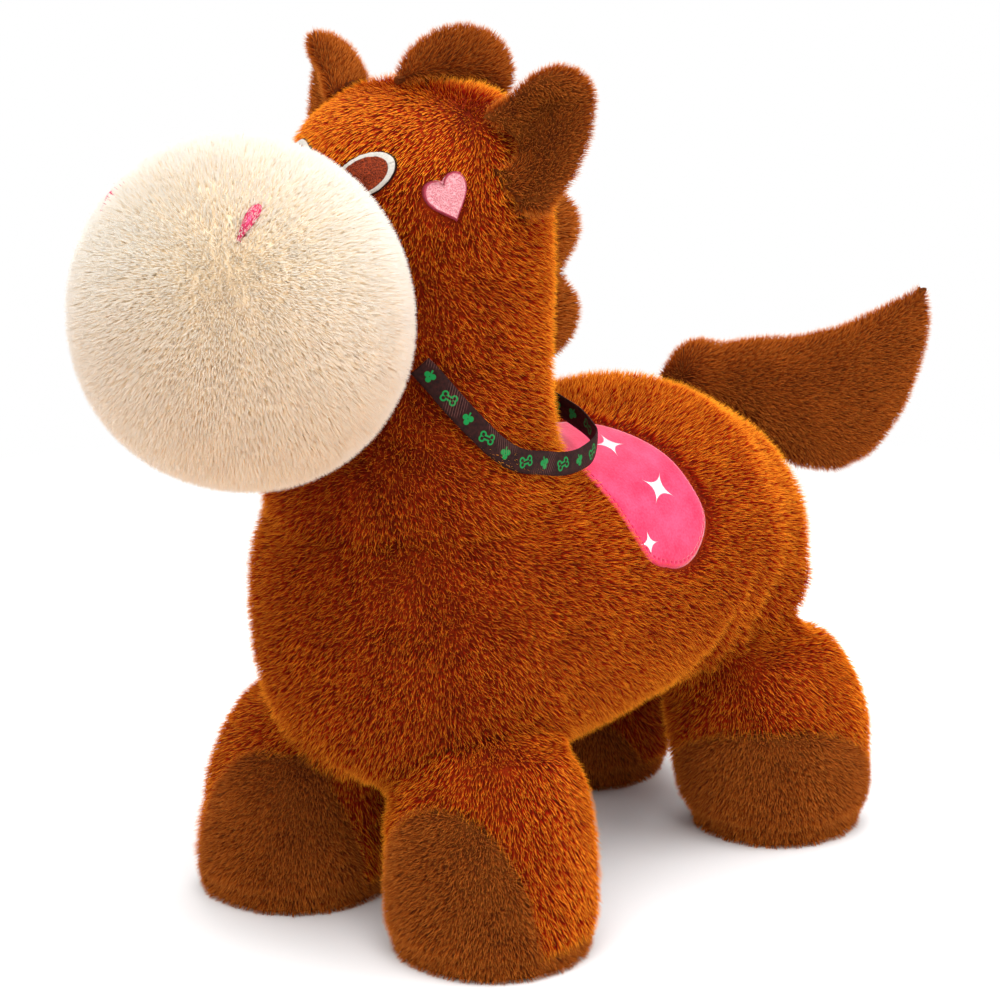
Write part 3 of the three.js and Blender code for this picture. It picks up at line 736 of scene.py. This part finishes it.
# Muzzle: a ball of long cream pile over the whole lower face, closed by one seam against the head, which
# draws its rear edge in.
cream_depth = 0.002
seam_tuck = 0.0025
muzzle_shift = Vector((0.0, 0.0012, -0.0003))
muzzle = remeshed("muzzle_skin", joined(["muzzle", "muzzle_stuffing"]), body_voxel, rounds=6)
muzzle_middle = sum((vertex.co for vertex in muzzle.data.vertices), Vector()) / len(muzzle.data.vertices)
for vertex in muzzle.data.vertices:
    way = (vertex.co - muzzle_middle).normalized()
    seamward = max(way.dot(Vector((math.copysign(0.35, way.x), 0.75, 0.56))), 0.0) ** 4
    vertex.co = muzzle_middle + muzzle_shift + (vertex.co - muzzle_middle) - way * seam_tuck * seamward
muzzle_outline = surface_of(muzzle.data)
sunk(muzzle, cream_depth)
covered(muzzle, "cream", steady(0, 0.3, -0.4), follow_body, halved=True, level=muzzle_middle.z)
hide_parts("muzzle", "muzzle_stuffing")


def hinged(hinge, rise):
    """Fixes pieces where they stand, by baking their placement into their mesh"""
    def follow(piece):
        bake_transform(piece)
    return follow


small_voxel = 0.003


def rooted(name, nodes, root, reach, depth):
    """The skin of a hinged piece, with a ball at its root that reaches under the body's skin"""
    mesh = joined(nodes)
    work = bmesh.new()
    work.from_mesh(mesh)
    ball = Matrix.Translation(root) @ Matrix.Diagonal((*reach, 1.0))
    bmesh.ops.create_icosphere(work, subdivisions=3, radius=1.0, matrix=ball)
    work.to_mesh(mesh)
    work.free()
    return sunk(remeshed(name, mesh, small_voxel, rounds=5), depth)


# Tail: one flat, upright lobe of short brown plush, stuffed and sewn on below the back. Its rear upper
# corner is stuffed out further than the frame.
tail_hinge = Vector((0.0, 0.1206, 0.205))
tail_turn = math.radians(25.0)
tail_lie = Vector((math.sin(tail_turn), math.cos(tail_turn), 0.0))
tail_root = tail_hinge + tail_lie * 0.004 - Vector((0, 0, 0.004))
tail_corner = ((0.065, 0.215, 0.245), (0.03, 0.04, 0.04), (0.003, 0.008, 0.004))
tail = rooted("tail_skin", ["tail", "tail_stuffing"], tail_root, (0.014, 0.02, 0.018), brown_depth)
filled_out(tail.data, (tail_corner,))
covered(tail, "brown", steady(0.3, 0.9, 0.15), hinged(tail_hinge, tail_lie))
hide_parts("tail", "tail_stuffing")

# Ears, forelock and mane: small stuffed pieces of short brown plush, sewn into the head's seams. Each ear
# is folded over at its front edge, which bulges forwards over the head, and pinched along the fold.
ear_fold = ((0.0647, -0.062, 0.3547), (0.056, -0.0705, 0.344), (0.05, -0.079, 0.332))
ear_spots = (
    ((0.0575, -0.061, 0.3085), (0.009, 0.009, 0.009), (-0.007, 0.001, 0.003)),
    ((0.0513, -0.0741, 0.3275), (0.007, 0.007, 0.007), (-0.005, 0.004, 0.0)),
)
fold_depth = 0.0062
fold_reach = 0.009
fold_bulge = 0.011


def from_segment(point, start, end):
    way = end - start
    share = min(max((point - start).dot(way) / way.length_squared, 0.0), 1.0)
    return (point - start - way * share).length


def fold_ear(mesh, side, hinge, rise):
    """Pushes the lower front of an ear forwards and presses a groove along its fold"""
    forwards = Vector((-0.5 * side, -0.85, 0.0)).normalized()
    for vertex in mesh.vertices:
        fore = (vertex.co - hinge - rise * (vertex.co - hinge).dot(rise)).dot(forwards)
        share = eased(fore + 0.003, 0.013) * max(1.0 - ((vertex.co.z - 0.336) / 0.022) ** 2, 0.0)
        vertex.co += (forwards * fold_bulge + Vector((0.003 * side, -0.001, 0.0))) * share
        vertex.co += Vector((-0.002 * side, 0.0042, -0.0006))
    mesh.update()
    line = [Vector((x * side, y, z)) for x, y, z in ear_fold]
    pressed = []
    for vertex in mesh.vertices:
        apart = min(from_segment(vertex.co, *ends) for ends in zip(line, line[1:]))
        pressed.append(vertex.normal * -fold_depth * max(1.0 - apart / fold_reach, 0.0))
    for vertex, move in zip(mesh.vertices, pressed):
        vertex.co += move
    mesh.update()


for side, hand in ((1, "left"), (-1, "right")):
    hinge = Vector((side * 0.0527, -0.0694, 0.326))
    rise = Vector((side * 0.69, 0.47, 0.55)).normalized()
    root = hinge + rise * 0.002
    ear = rooted(f"ear_{hand}_skin", [f"ear_{hand}"], root, (0.005, 0.01, 0.008), brown_depth)
    fold_ear(ear.data, side, hinge, rise)
    filled_out(ear.data, on_side(side, ear_spots))
    covered(ear, "brown", steady(*rise), hinged(hinge, rise))
    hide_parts(f"ear_{hand}")
for name, hinge, way, reach in (
    ("forelock", Vector((0.0, -0.0419, 0.361)), Vector((0, 0.35, 1)), (0.008, 0.026, 0.01)),
    ("mane", Vector((0.0, -0.0077, 0.27)), Vector((0, 1, 0.1)), (0.008, 0.01, 0.04)),
):
    tuft = rooted(f"{name}_skin", [name], hinge, reach, brown_depth)
    rise = way.normalized()
    covered(tuft, "brown", steady(*rise), hinged(hinge, rise))
    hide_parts(name)

# Trim: pink saddle flaps, embroidered eyes, hearts and nostrils, all sewn through the plush, so they
# lie a little below the pile around them.


def ellipse(width, height, count=96):
    turns = [2 * math.pi * step / count for step in range(count)]
    return [Vector((math.cos(turn) * width / 2, math.sin(turn) * height / 2)) for turn in turns]


def curve_point(before, here, there, after, t):
    """A point between two corners of a smooth line, which also heeds the corners beside them"""
    return 0.5 * (
        here * 2 + (there - before) * t + (before * 2 - here * 5 + there * 4 - after) * t ** 2
        + (here * 3 - before - there * 3 + after) * t ** 3
    )


def closed_curve(corners, steps=12):
    """Points of a smooth closed line through corners"""
    points = []
    for index in range(len(corners)):
        around = [corners[(index + shift) % len(corners)] for shift in (-1, 0, 1, 2)]
        points += [curve_point(*around, step / steps) for step in range(steps)]
    return points


def bend(*corners, steps=20):
    """Points of a cubic curve, without its end"""
    points = []
    for step in range(steps):
        t = step / steps
        weights = ((1 - t) ** 3, 3 * (1 - t) ** 2 * t, 3 * (1 - t) * t ** 2, t ** 3)
        parts = (Vector(corner) * weight for corner, weight in zip(corners, weights))
        points.append(sum(parts, Vector((0, 0))))
    return points


def face_out(mesh, outwards):
    """Flips the faces of a mesh that look inwards; outwards gives the way out at a place"""
    if sum(face.normal.dot(outwards(face.center)) for face in mesh.polygons) < 0:
        mesh.flip_normals()


def patch(name, border, place, outwards, tilt, surface, heights, rings=14, thickness=0.0015, lift=0.03):
    """A sewn patch: rings of its border laid on a surface, at a height above it by share of the way out"""
    outwards = Vector(outwards).normalized()
    level = Vector((0, 0, 1)) - outwards * outwards.z
    rise = (Matrix.Rotation(math.radians(tilt), 3, outwards) @ level).normalized()
    across = rise.cross(outwards)
    middle = sum(border, Vector((0, 0))) / len(border)
    flat, shares, arounds = [middle], [0.0], [0.0]
    for ring in range(1, rings + 1):
        share = ring / rings
        run = 0.0
        for index, point in enumerate(border):
            flat.append(middle.lerp(point, share))
            shares.append(share)
            arounds.append(run)
            run += (border[(index + 1) % len(border)] - point).length
    corners = []
    for point, share in zip(flat, shares):
        above = Vector(place) + across * point.x + rise * point.y + outwards * lift
        spot, normal, _, _ = surface.ray_cast(above, -outwards)
        if spot is None:
            spot, normal, _, _ = surface.find_nearest(above - outwards * lift)
        height = np.interp(share, *zip(*heights))
        corners.append(spot + normal * height)
    count = len(border)
    faces = [(0, 1 + index, 1 + (index + 1) % count) for index in range(count)]
    for ring in range(1, rings):
        inner, outer = 1 + (ring - 1) * count, 1 + ring * count
        faces += [
            (inner + index, outer + index, outer + (index + 1) % count, inner + (index + 1) % count)
            for index in range(count)
        ]
    mesh = smooth_mesh(name, corners, faces)
    reach = mesh.attributes.new("share", "FLOAT", "POINT")
    reach.data.foreach_set("value", shares)
    cut = mesh.uv_layers.new(name="cut")
    around = mesh.uv_layers.new(name="around")
    for loop in mesh.loops:
        point = flat[loop.vertex_index]
        cut.data[loop.index].uv = (point.x, point.y)
        around.data[loop.index].uv = (arounds[loop.vertex_index], shares[loop.vertex_index])
    made = new_object(name, mesh)
    face_out(mesh, lambda spot: outwards)
    return thickened(made, thickness)


def shape_area(border):
    return abs(sum(border[index - 1].cross(border[index]) for index in range(len(border)))) / 2


saddle_shares = (
    (0.3, 0), (0.66, 0.12), (0.92, 0.4), (1, 0.66), (1, 0.86),
    (0.78, 1), (0.48, 1), (0.2, 0.86), (0, 0.3), (0.04, 0.1),
)
saddle_width, saddle_length = 0.056, 0.088
heart_width = 0.0205
heart_half = bend((0, 0.26), (0.08, 0.52), (0.5, 0.52), (0.5, 0.17))
heart_half += bend((0.5, 0.17), (0.5, -0.12), (0.2, -0.3), (0, -0.56))
heart_half = [point * heart_width for point in heart_half]
heart_tip = Vector((0, -0.56 * heart_width))
heart_border = [*heart_half, heart_tip, *(Vector((-point.x, point.y)) for point in reversed(heart_half[1:]))]


def thread_tree():
    """Satin stitches side by side: how high each stands, and how it differs from the next"""
    inputs = {"Along": "Float", "Across": "Float", "Width": "Float"}
    tree, start, end = group_of("threads", inputs, {"Height": "Float", "Tone": "Float"})
    number, zone, _ = sums(tree)
    count = number("DIVIDE", start["Along"], start["Width"])
    wave = number("SINE", number("MULTIPLY", count, 2 * math.pi))
    ends = {"X": number("FLOOR", count), "Y": number("MULTIPLY", start["Across"], 2.0)}
    spot = result(tree, "ShaderNodeCombineXYZ", 0, ends)
    tree.links.new(zone(wave, -1.0, 1.0), end["Height"])
    tree.links.new(speckle(tree, spot, 1.7, 1.0), end["Tone"])
    return tree


def disc_tree():
    """Distance of a place on the cloth from the edge of a disc"""
    inputs = {"Place": "Vector", "Centre": "Vector", "Radius": "Float"}
    tree, start, end = group_of("disc", inputs, {"Distance": "Float"})
    ends = {0: start["Place"], 1: start["Centre"]}
    apart = result(tree, "ShaderNodeVectorMath", "Value", ends, operation="DISTANCE")
    tree.links.new(sums(tree)[0]("SUBTRACT", apart, start["Radius"]), end["Distance"])
    return tree


def turned_about(tree, place, angle):
    inputs = {"Vector": place, "Angle": angle}
    return result(tree, "ShaderNodeVectorRotate", 0, inputs, rotation_type="Z_AXIS")


def sparkle_tree():
    """Mask of a star with four thin points"""
    inputs = {"Place": "Vector", "Centre": "Vector", "Size": "Float", "Turn": "Float"}
    tree, start, end = group_of("sparkle", inputs, {"Mask": "Float"})
    number, zone, _ = sums(tree)
    ends = {0: start["Place"], 1: start["Centre"]}
    apart = result(tree, "ShaderNodeVectorMath", 0, ends, operation="SUBTRACT")
    parts = split(tree, turned_about(tree, apart, start["Turn"]))
    reach = [
        number("POWER", number("DIVIDE", number("ABSOLUTE", parts[axis]), start["Size"]), 0.5)
        for axis in ("X", "Y")
    ]
    tree.links.new(zone(number("ADD", *reach), 1.0, 0.92), end["Mask"])
    return tree


threads, disc, sparkle = thread_tree(), disc_tree(), sparkle_tree()


def share_of_way(tree):
    return result(tree, "ShaderNodeAttribute", "Fac", attribute_name="share")


def embroidered(name, zones, fill, thread=0.00045, sheen=0.1):
    """Thread work: zones of colour by share of the way out; the innermost has a grain of two tones"""
    material, tree, shader = new_material(name, Roughness=0.7, Specular_IOR_Level=0.2, Sheen_Weight=sheen)
    number, zone, mixed = sums(tree)
    around = split(tree, map_place(tree, "around"))
    share = share_of_way(tree)
    stitches = use_group(tree, threads, {"Along": around["X"], "Across": share, "Width": thread})
    place = map_place(tree, "cut")
    grain = result(tree, "ShaderNodeTexVoronoi", "Distance", {"Vector": place, "Scale": 1500.0})
    inner = zone(number("MULTIPLY", grain, speckle(tree, place, 700.0)), 0.05, 0.4)
    colour = mixed(inner, *fill)
    for least, shade in zones:
        dull = tuple(part * 0.82 for part in shade[:3]) + (1.0,)
        toned = mixed(zone(stitches["Tone"], 0.2, 0.8), dull, shade)
        colour = mixed(zone(share, least - 0.012, least + 0.012), colour, toned)
    tree.links.new(colour, shader.inputs["Base Color"])
    rim = zone(share, zones[0][0] - 0.01, zones[0][0] + 0.01)
    stitched = number("MULTIPLY", stitches["Height"], rim)
    knotted = number("MULTIPLY", inner, number("SUBTRACT", 1.0, rim))
    relief(tree, shader, number("ADD", stitched, knotted), 0.0004, 0.8)
    return material


saddle_stars = ((0.5, 0.3, 0.0085, 0.3), (0.62, 0.62, 0.0095, 0.75), (0.3, 0.86, 0.006, 0.1))


def saddle_look(side):
    """Hot pink short plush with white thread sparkles and a line of stitches inside its edge"""
    material, tree, shader = new_material(
        f"saddle_pink_{side}", Roughness=0.8, Specular_IOR_Level=0.2, Sheen_Weight=0.5, Sheen_Roughness=0.4,
    )
    number, zone, mixed = sums(tree)
    place = map_place(tree, "cut")
    share = share_of_way(tree)
    nap = speckle(tree, place, 900.0, 3.0)
    locks = speckle(tree, place, 90.0)
    ruffled = number("ADD", number("MULTIPLY", nap, 0.4), number("MULTIPLY", locks, 0.6))
    pink = mixed(zone(ruffled, 0.35, 0.65), paint(228, 36, 80), paint(244, 72, 112))
    stars = None
    for across, down, size, turn in saddle_stars:
        centre = (side * across * saddle_width, -down * saddle_length, 0.0)
        spot = {"Place": place, "Centre": centre, "Size": size, "Turn": side * turn}
        mask = use_group(tree, sparkle, spot)["Mask"]
        stars = mask if stars is None else number("MAXIMUM", stars, mask)
    thread = mixed(zone(speckle(tree, place, 1400.0), 0.4, 0.6), paint(222, 196, 204), paint(252, 240, 244))
    around = split(tree, map_place(tree, "around"))["X"]
    dash = zone(number("SINE", number("MULTIPLY", around, 2 * math.pi / 0.003)), -0.4, -0.2)
    line = number("MULTIPLY", zone(number("ABSOLUTE", number("SUBTRACT", share, 0.935)), 0.016, 0.008), dash)
    colour = mixed(line, mixed(stars, pink, thread), paint(200, 24, 74))
    tree.links.new(colour, shader.inputs["Base Color"])
    raised = number("ADD", number("MULTIPLY", nap, 0.5), stars)
    relief(tree, shader, number("SUBTRACT", raised, number("MULTIPLY", line, 1.4)), 0.0004, 0.7)
    return material


def ribbon_look():
    """Dark printed satin: outlined bones and filled clover leaves by turns, in green, over a fine weave, with
    painted glints on slanted stripes in patches
    """
    material, tree, shader = new_material("ribbon_print", Roughness=0.6, Specular_IOR_Level=0.1)
    number, zone, mixed = sums(tree)
    place = map_place(tree, "cut")
    parts = split(tree, place)
    pitch = 0.0118
    count = number("DIVIDE", parts["X"], pitch)
    along = number("MULTIPLY", number("SUBTRACT", number("FRACT", count), 0.5), pitch)
    spot = result(tree, "ShaderNodeCombineXYZ", 0, {"X": along, "Y": parts["Y"]})
    spot = turned_about(tree, spot, 0.35)
    tilted = split(tree, spot)

    def discs(radius, *centres):
        """Distance from the edge of the nearest of some discs"""
        found = None
        for x, y in centres:
            inputs = {"Place": spot, "Centre": (x, y, 0.0), "Radius": radius}
            apart = use_group(tree, disc, inputs)["Distance"]
            found = apart if found is None else number("MINIMUM", found, apart)
        return found

    def bar(half_width, half_height, drop=0.0):
        """Distance from the edge of a bar about the middle, or below it"""
        x = number("SUBTRACT", number("ABSOLUTE", tilted["X"]), half_width)
        y = number("SUBTRACT", number("ABSOLUTE", number("ADD", tilted["Y"], drop)), half_height)
        return number("MAXIMUM", x, y)

    def stripes(slant, width):
        """A wave over the length of the ribbon, slanted across it"""
        run = number("ADD", parts["X"], number("MULTIPLY", parts["Y"], slant))
        return number("SINE", number("MULTIPLY", run, 2 * math.pi / width))

    knobs = discs(0.0011, (-0.0021, 0.0009), (-0.0021, -0.0009), (0.0021, 0.0009), (0.0021, -0.0009))
    bone = zone(number("ABSOLUTE", number("MINIMUM", knobs, bar(0.0021, 0.0008))), 0.00042, 0.00028)
    leaves = discs(0.0012, (0.0, 0.0014), (-0.0013, -0.0004), (0.0013, -0.0004))
    clover = zone(number("MINIMUM", leaves, bar(0.00035, 0.0013, drop=0.0015)), 0.0001, -0.0001)
    turn = number("MODULO", number("FLOOR", count), 2.0)
    clovers = number("MULTIPLY", clover, number("SUBTRACT", 1.0, turn))
    figures = number("ADD", number("MULTIPLY", bone, turn), clovers)
    weave = stripes(0.6, 0.0006)
    ground = mixed(zone(speckle(tree, place, 500.0, 3.0), 0.35, 0.7), paint(28, 9, 8), paint(50, 19, 16))
    # Painted glints of light on the satin: pale slanted stripes, shown only in patches.
    patches = zone(speckle(tree, place, 70.0, 0.0), 0.56, 0.62)
    painted_glints = number("MULTIPLY", zone(stripes(-0.7, 0.0013), 0.8, 0.95), patches)
    printed = mixed(figures, ground, paint(16, 122, 58))
    colour = mixed(number("MULTIPLY", painted_glints, 0.45), printed, paint(140, 88, 82))
    tree.links.new(colour, shader.inputs["Base Color"])
    relief(tree, shader, number("ADD", number("MULTIPLY", weave, 0.5), figures), 0.0001, 0.5)
    return material


eye_zones = ((0.74, paint(242, 236, 226)), (0.92, paint(48, 16, 6)))
eye_look = embroidered("eye_thread", eye_zones, (paint(70, 18, 4), paint(146, 54, 18)), sheen=0.0)
heart_zones = ((0.86, paint(196, 74, 96)),)
heart_look = embroidered("heart_thread", heart_zones, (paint(198, 104, 116), paint(220, 158, 164)), sheen=0.0)
nostril_zones = ((0.3, paint(250, 56, 112)),)
nostril_fill = (paint(226, 40, 96), paint(255, 84, 136))
nostril_look = embroidered("nostril_thread", nostril_zones, nostril_fill, thread=0.0006)
nostril_taper = 60.0
nostril_border = [
    Vector((point.x * (1.0 + nostril_taper * point.y), point.y)) for point in ellipse(0.0044, 0.0185)
]
trims = []
for side, hand in ((1, "left"), (-1, "right")):
    border = closed_curve([
        Vector((side * across * saddle_width, -down * saddle_length)) for across, down in saddle_shares
    ])
    slope = Vector((side * math.sin(math.radians(45)), 0, math.cos(math.radians(45))))
    saddle = patch(
        f"saddle_flap_{hand}", border, (side * 0.014, -0.0165, 0.209), slope, 0.0, outline,
        ((0.0, -0.0022), (0.85, -0.0026), (0.95, -0.003), (1.0, -0.0042)), rings=18,
    )
    shape_area(border)
    eye = patch(
        f"eye_{hand}_embroidery", ellipse(0.0305, 0.0185), (side * 0.019, -0.1205, 0.3315),
        (side * 0.351, -0.936, 0), side * 28, outline,
        ((0.0, -0.0022), (0.6, -0.0022), (0.68, -0.0018), (0.9, -0.0018), (1.0, -0.004)),
    )
    heart = patch(
        f"heart_{hand}_embroidery", heart_border, (side * 0.0455, -0.0955, 0.3225), (side * 0.797, -0.604, 0),
        side * 20, outline, ((0.0, -0.003), (0.72, -0.003), (0.84, -0.0022), (0.95, -0.0026), (1.0, -0.004)),
    )
    nostril = patch(
        f"nostril_{hand}_stitching", nostril_border, (side * 0.038, -0.2032, 0.329),
        (side * 0.547, -0.567, 0.616), side * -28, muzzle_outline, ((0.0, 0.0019), (1.0, 0.0003)),
        rings=5, thickness=0.003,
    )
    for piece, node, look, slot in (
        (saddle, "saddle", saddle_look(side), "pink_felt"), (eye, "eye", eye_look, "eye_embroidery"),
        (heart, "heart", heart_look, "blush_satin"), (nostril, "nostril", nostril_look, "pink_felt"),
    ):
        piece.data.materials.append(look)
        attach(piece, "body")
        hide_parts(f"{node}_{hand}")
    trims += [saddle, eye, heart]

# Rein: one flat printed ribbon, 10 mm wide, sewn in at both ends of the muzzle seam and slack behind
# the neck. Each row is a point of its line down the horse's left side and the bearing that it faces.
rein_rows = (
    (38.5, -106.8, 254.5, 40), (43.8, -102.5, 246.8, 47), (49.7, -97.3, 237.3, 56),
    (54.3, -90.4, 228, 65.6), (57.9, -82.2, 218.8, 75.7), (60.6, -71.3, 211.6, 87),
    (61.5, -56.8, 207.5, 99.8), (61.6, -44.6, 204.6, 109.7), (60.9, -32.3, 203.8, 118.7),
    (57.6, -20.6, 204.8, 127.5), (51.6, -10.3, 206.8, 136.3), (40.7, -5.1, 210.3, 145.4),
    (29.1, -2.1, 213.4, 154.8), (17, -0.7, 215.8, 165), (0, -0.3, 217, 180),
)
rein_width = 0.01
rein_thickness = 0.0006
rein_steps = 8
rein_columns = 6


def rein_strip():
    rows = [Vector(row) for row in rein_rows]
    rows += [Vector((-row[0], row[1], row[2], 360 - row[3])) for row in reversed(rein_rows[:-1])]
    last = len(rows) - 1
    line = []
    for index in range(last):
        around = [rows[min(max(index + shift, 0), last)] for shift in (-1, 0, 1, 2)]
        steps = range(rein_steps + (index == last - 1))
        line += [curve_point(*around, step / rein_steps) for step in steps]
    points = [row.xyz / 1000 for row in line]
    corners, places, run = [], [], 0.0
    for index, (point, row) in enumerate(zip(points, line)):
        along = (points[min(index + 1, len(points) - 1)] - points[max(index - 1, 0)]).normalized()
        turn = math.radians(row.w)
        outwards = Vector((math.sin(turn), -math.cos(turn), 0))
        across = along.cross(outwards).normalized()
        outer = across.cross(along).normalized()
        if index:
            run += (point - points[index - 1]).length
        for column in range(rein_columns + 1):
            share = column / rein_columns * 2 - 1
            curl = 0.0004 * share ** 2 + 0.0003 * math.sin(run * 260 + share)
            corners.append(point + across * share * rein_width / 2 + outer * (0.0008 - curl))
            places.append((run, share * rein_width / 2))
    beside = rein_columns + 1
    faces = [
        (row * beside + column, row * beside + column + 1,
         (row + 1) * beside + column + 1, (row + 1) * beside + column)
        for row in range(len(points) - 1) for column in range(rein_columns)
    ]
    mesh = smooth_mesh("rein_ribbon", corners, faces)
    cut = mesh.uv_layers.new(name="cut")
    for loop in mesh.loops:
        cut.data[loop.index].uv = places[loop.vertex_index]
    made = new_object("rein_ribbon", mesh)
    face_out(mesh, lambda spot: Vector((spot.x, spot.y + 0.06, 0)).normalized())
    return thickened(made, rein_thickness)


rein = rein_strip()
rein.data.materials.append(ribbon_look())
rein_length = max(spot.uv.x for spot in rein.data.uv_layers["cut"].data)
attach(rein, "body")
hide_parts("rein")
trims.append(rein)

# Growing the pile: what is sewn on presses it down, so it is shorter there.
pressing_mesh = bpy.data.meshes.new("pressing")
work = bmesh.new()
for piece in trims:
    work.from_mesh(piece.data)
work.to_mesh(pressing_mesh)
work.free()
pressing = new_object("pressing", pressing_mesh)
for seed, (name, cloth, fabric, comb, follow) in enumerate(cloths, start=10):
    follow(grown(name, cloth, fabric, comb, seed))
    bpy.data.objects.remove(cloth)
bpy.data.objects.remove(pressing)

# Setting: a plain pale floor that fades to white, a white surround and three soft lamps.
surround = bpy.data.worlds.new("surround")
bpy.context.scene.world = surround
surround.use_nodes = True
sky = surround.node_tree
sky.nodes.clear()
path = sky.nodes.new("ShaderNodeLightPath").outputs
shown_white = add_node(sky, "ShaderNodeBackground", {"Color": white, "Strength": 1.0})
soft_fill = add_node(sky, "ShaderNodeBackground", {"Color": white, "Strength": 0.92})
choice = add_node(sky, "ShaderNodeMixShader", {
    0: path["Is Camera Ray"], 1: soft_fill.outputs[0], 2: shown_white.outputs[0],
})
sky.links.new(choice.outputs[0], sky.nodes.new("ShaderNodeOutputWorld").inputs["Surface"])

floor_mesh = bpy.data.meshes.new("floor")
floor_mesh.from_pydata([(-3, -3, 0), (3, -3, 0), (3, 3, 0), (-3, 3, 0)], [], [(0, 1, 2, 3)])
floor = new_object("floor", floor_mesh)
floor_material, floor_tree, floor_shader = new_material("floor", Roughness=0.9)
number, zone, mixed = sums(floor_tree)
place = result(floor_tree, "ShaderNodeTexCoord", "Object")
reach = result(floor_tree, "ShaderNodeVectorMath", "Value", {0: place}, operation="LENGTH")
pale = mixed(speckle(floor_tree, place, 8.0), (0.93, 0.93, 0.93, 1), (0.96, 0.96, 0.96, 1))
floor_tree.links.new(pale, floor_shader.inputs["Base Color"])
glow = result(floor_tree, "ShaderNodeEmission", 0, {"Color": white, "Strength": 1.0})
camera_ray = result(floor_tree, "ShaderNodeLightPath", "Is Camera Ray")
faded = number("MULTIPLY", zone(reach, 0.25, 0.75), camera_ray)
both = add_node(floor_tree, "ShaderNodeMixShader", {0: faded, 1: floor_shader.outputs[0], 2: glow})
surface = next(node for node in floor_tree.nodes if node.type == "OUTPUT_MATERIAL")
floor_tree.links.new(both.outputs[0], surface.inputs["Surface"])
floor_mesh.materials.append(floor_material)
floor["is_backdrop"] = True

lamp_aim = Vector((0.0, 0.0, 0.18))
for name, bearing, rise, distance, size, power in (
    ("key", 38.0, 62.0, 1.5, 1.1, 17.5),
    ("side", 115.0, 32.0, 1.6, 1.2, 8.5),
    ("back", 220.0, 45.0, 1.6, 1.2, 9.0),
):
    lamp = looking(name, bpy.data.lights.new(name, "AREA"), lamp_aim, bearing, rise, distance)
    lamp.data.size = size
    lamp.data.energy = power
    lamp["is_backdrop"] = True

size = {"cad": [list(corner) for corner in cad_box], "visual": [list(corner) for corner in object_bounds()]}
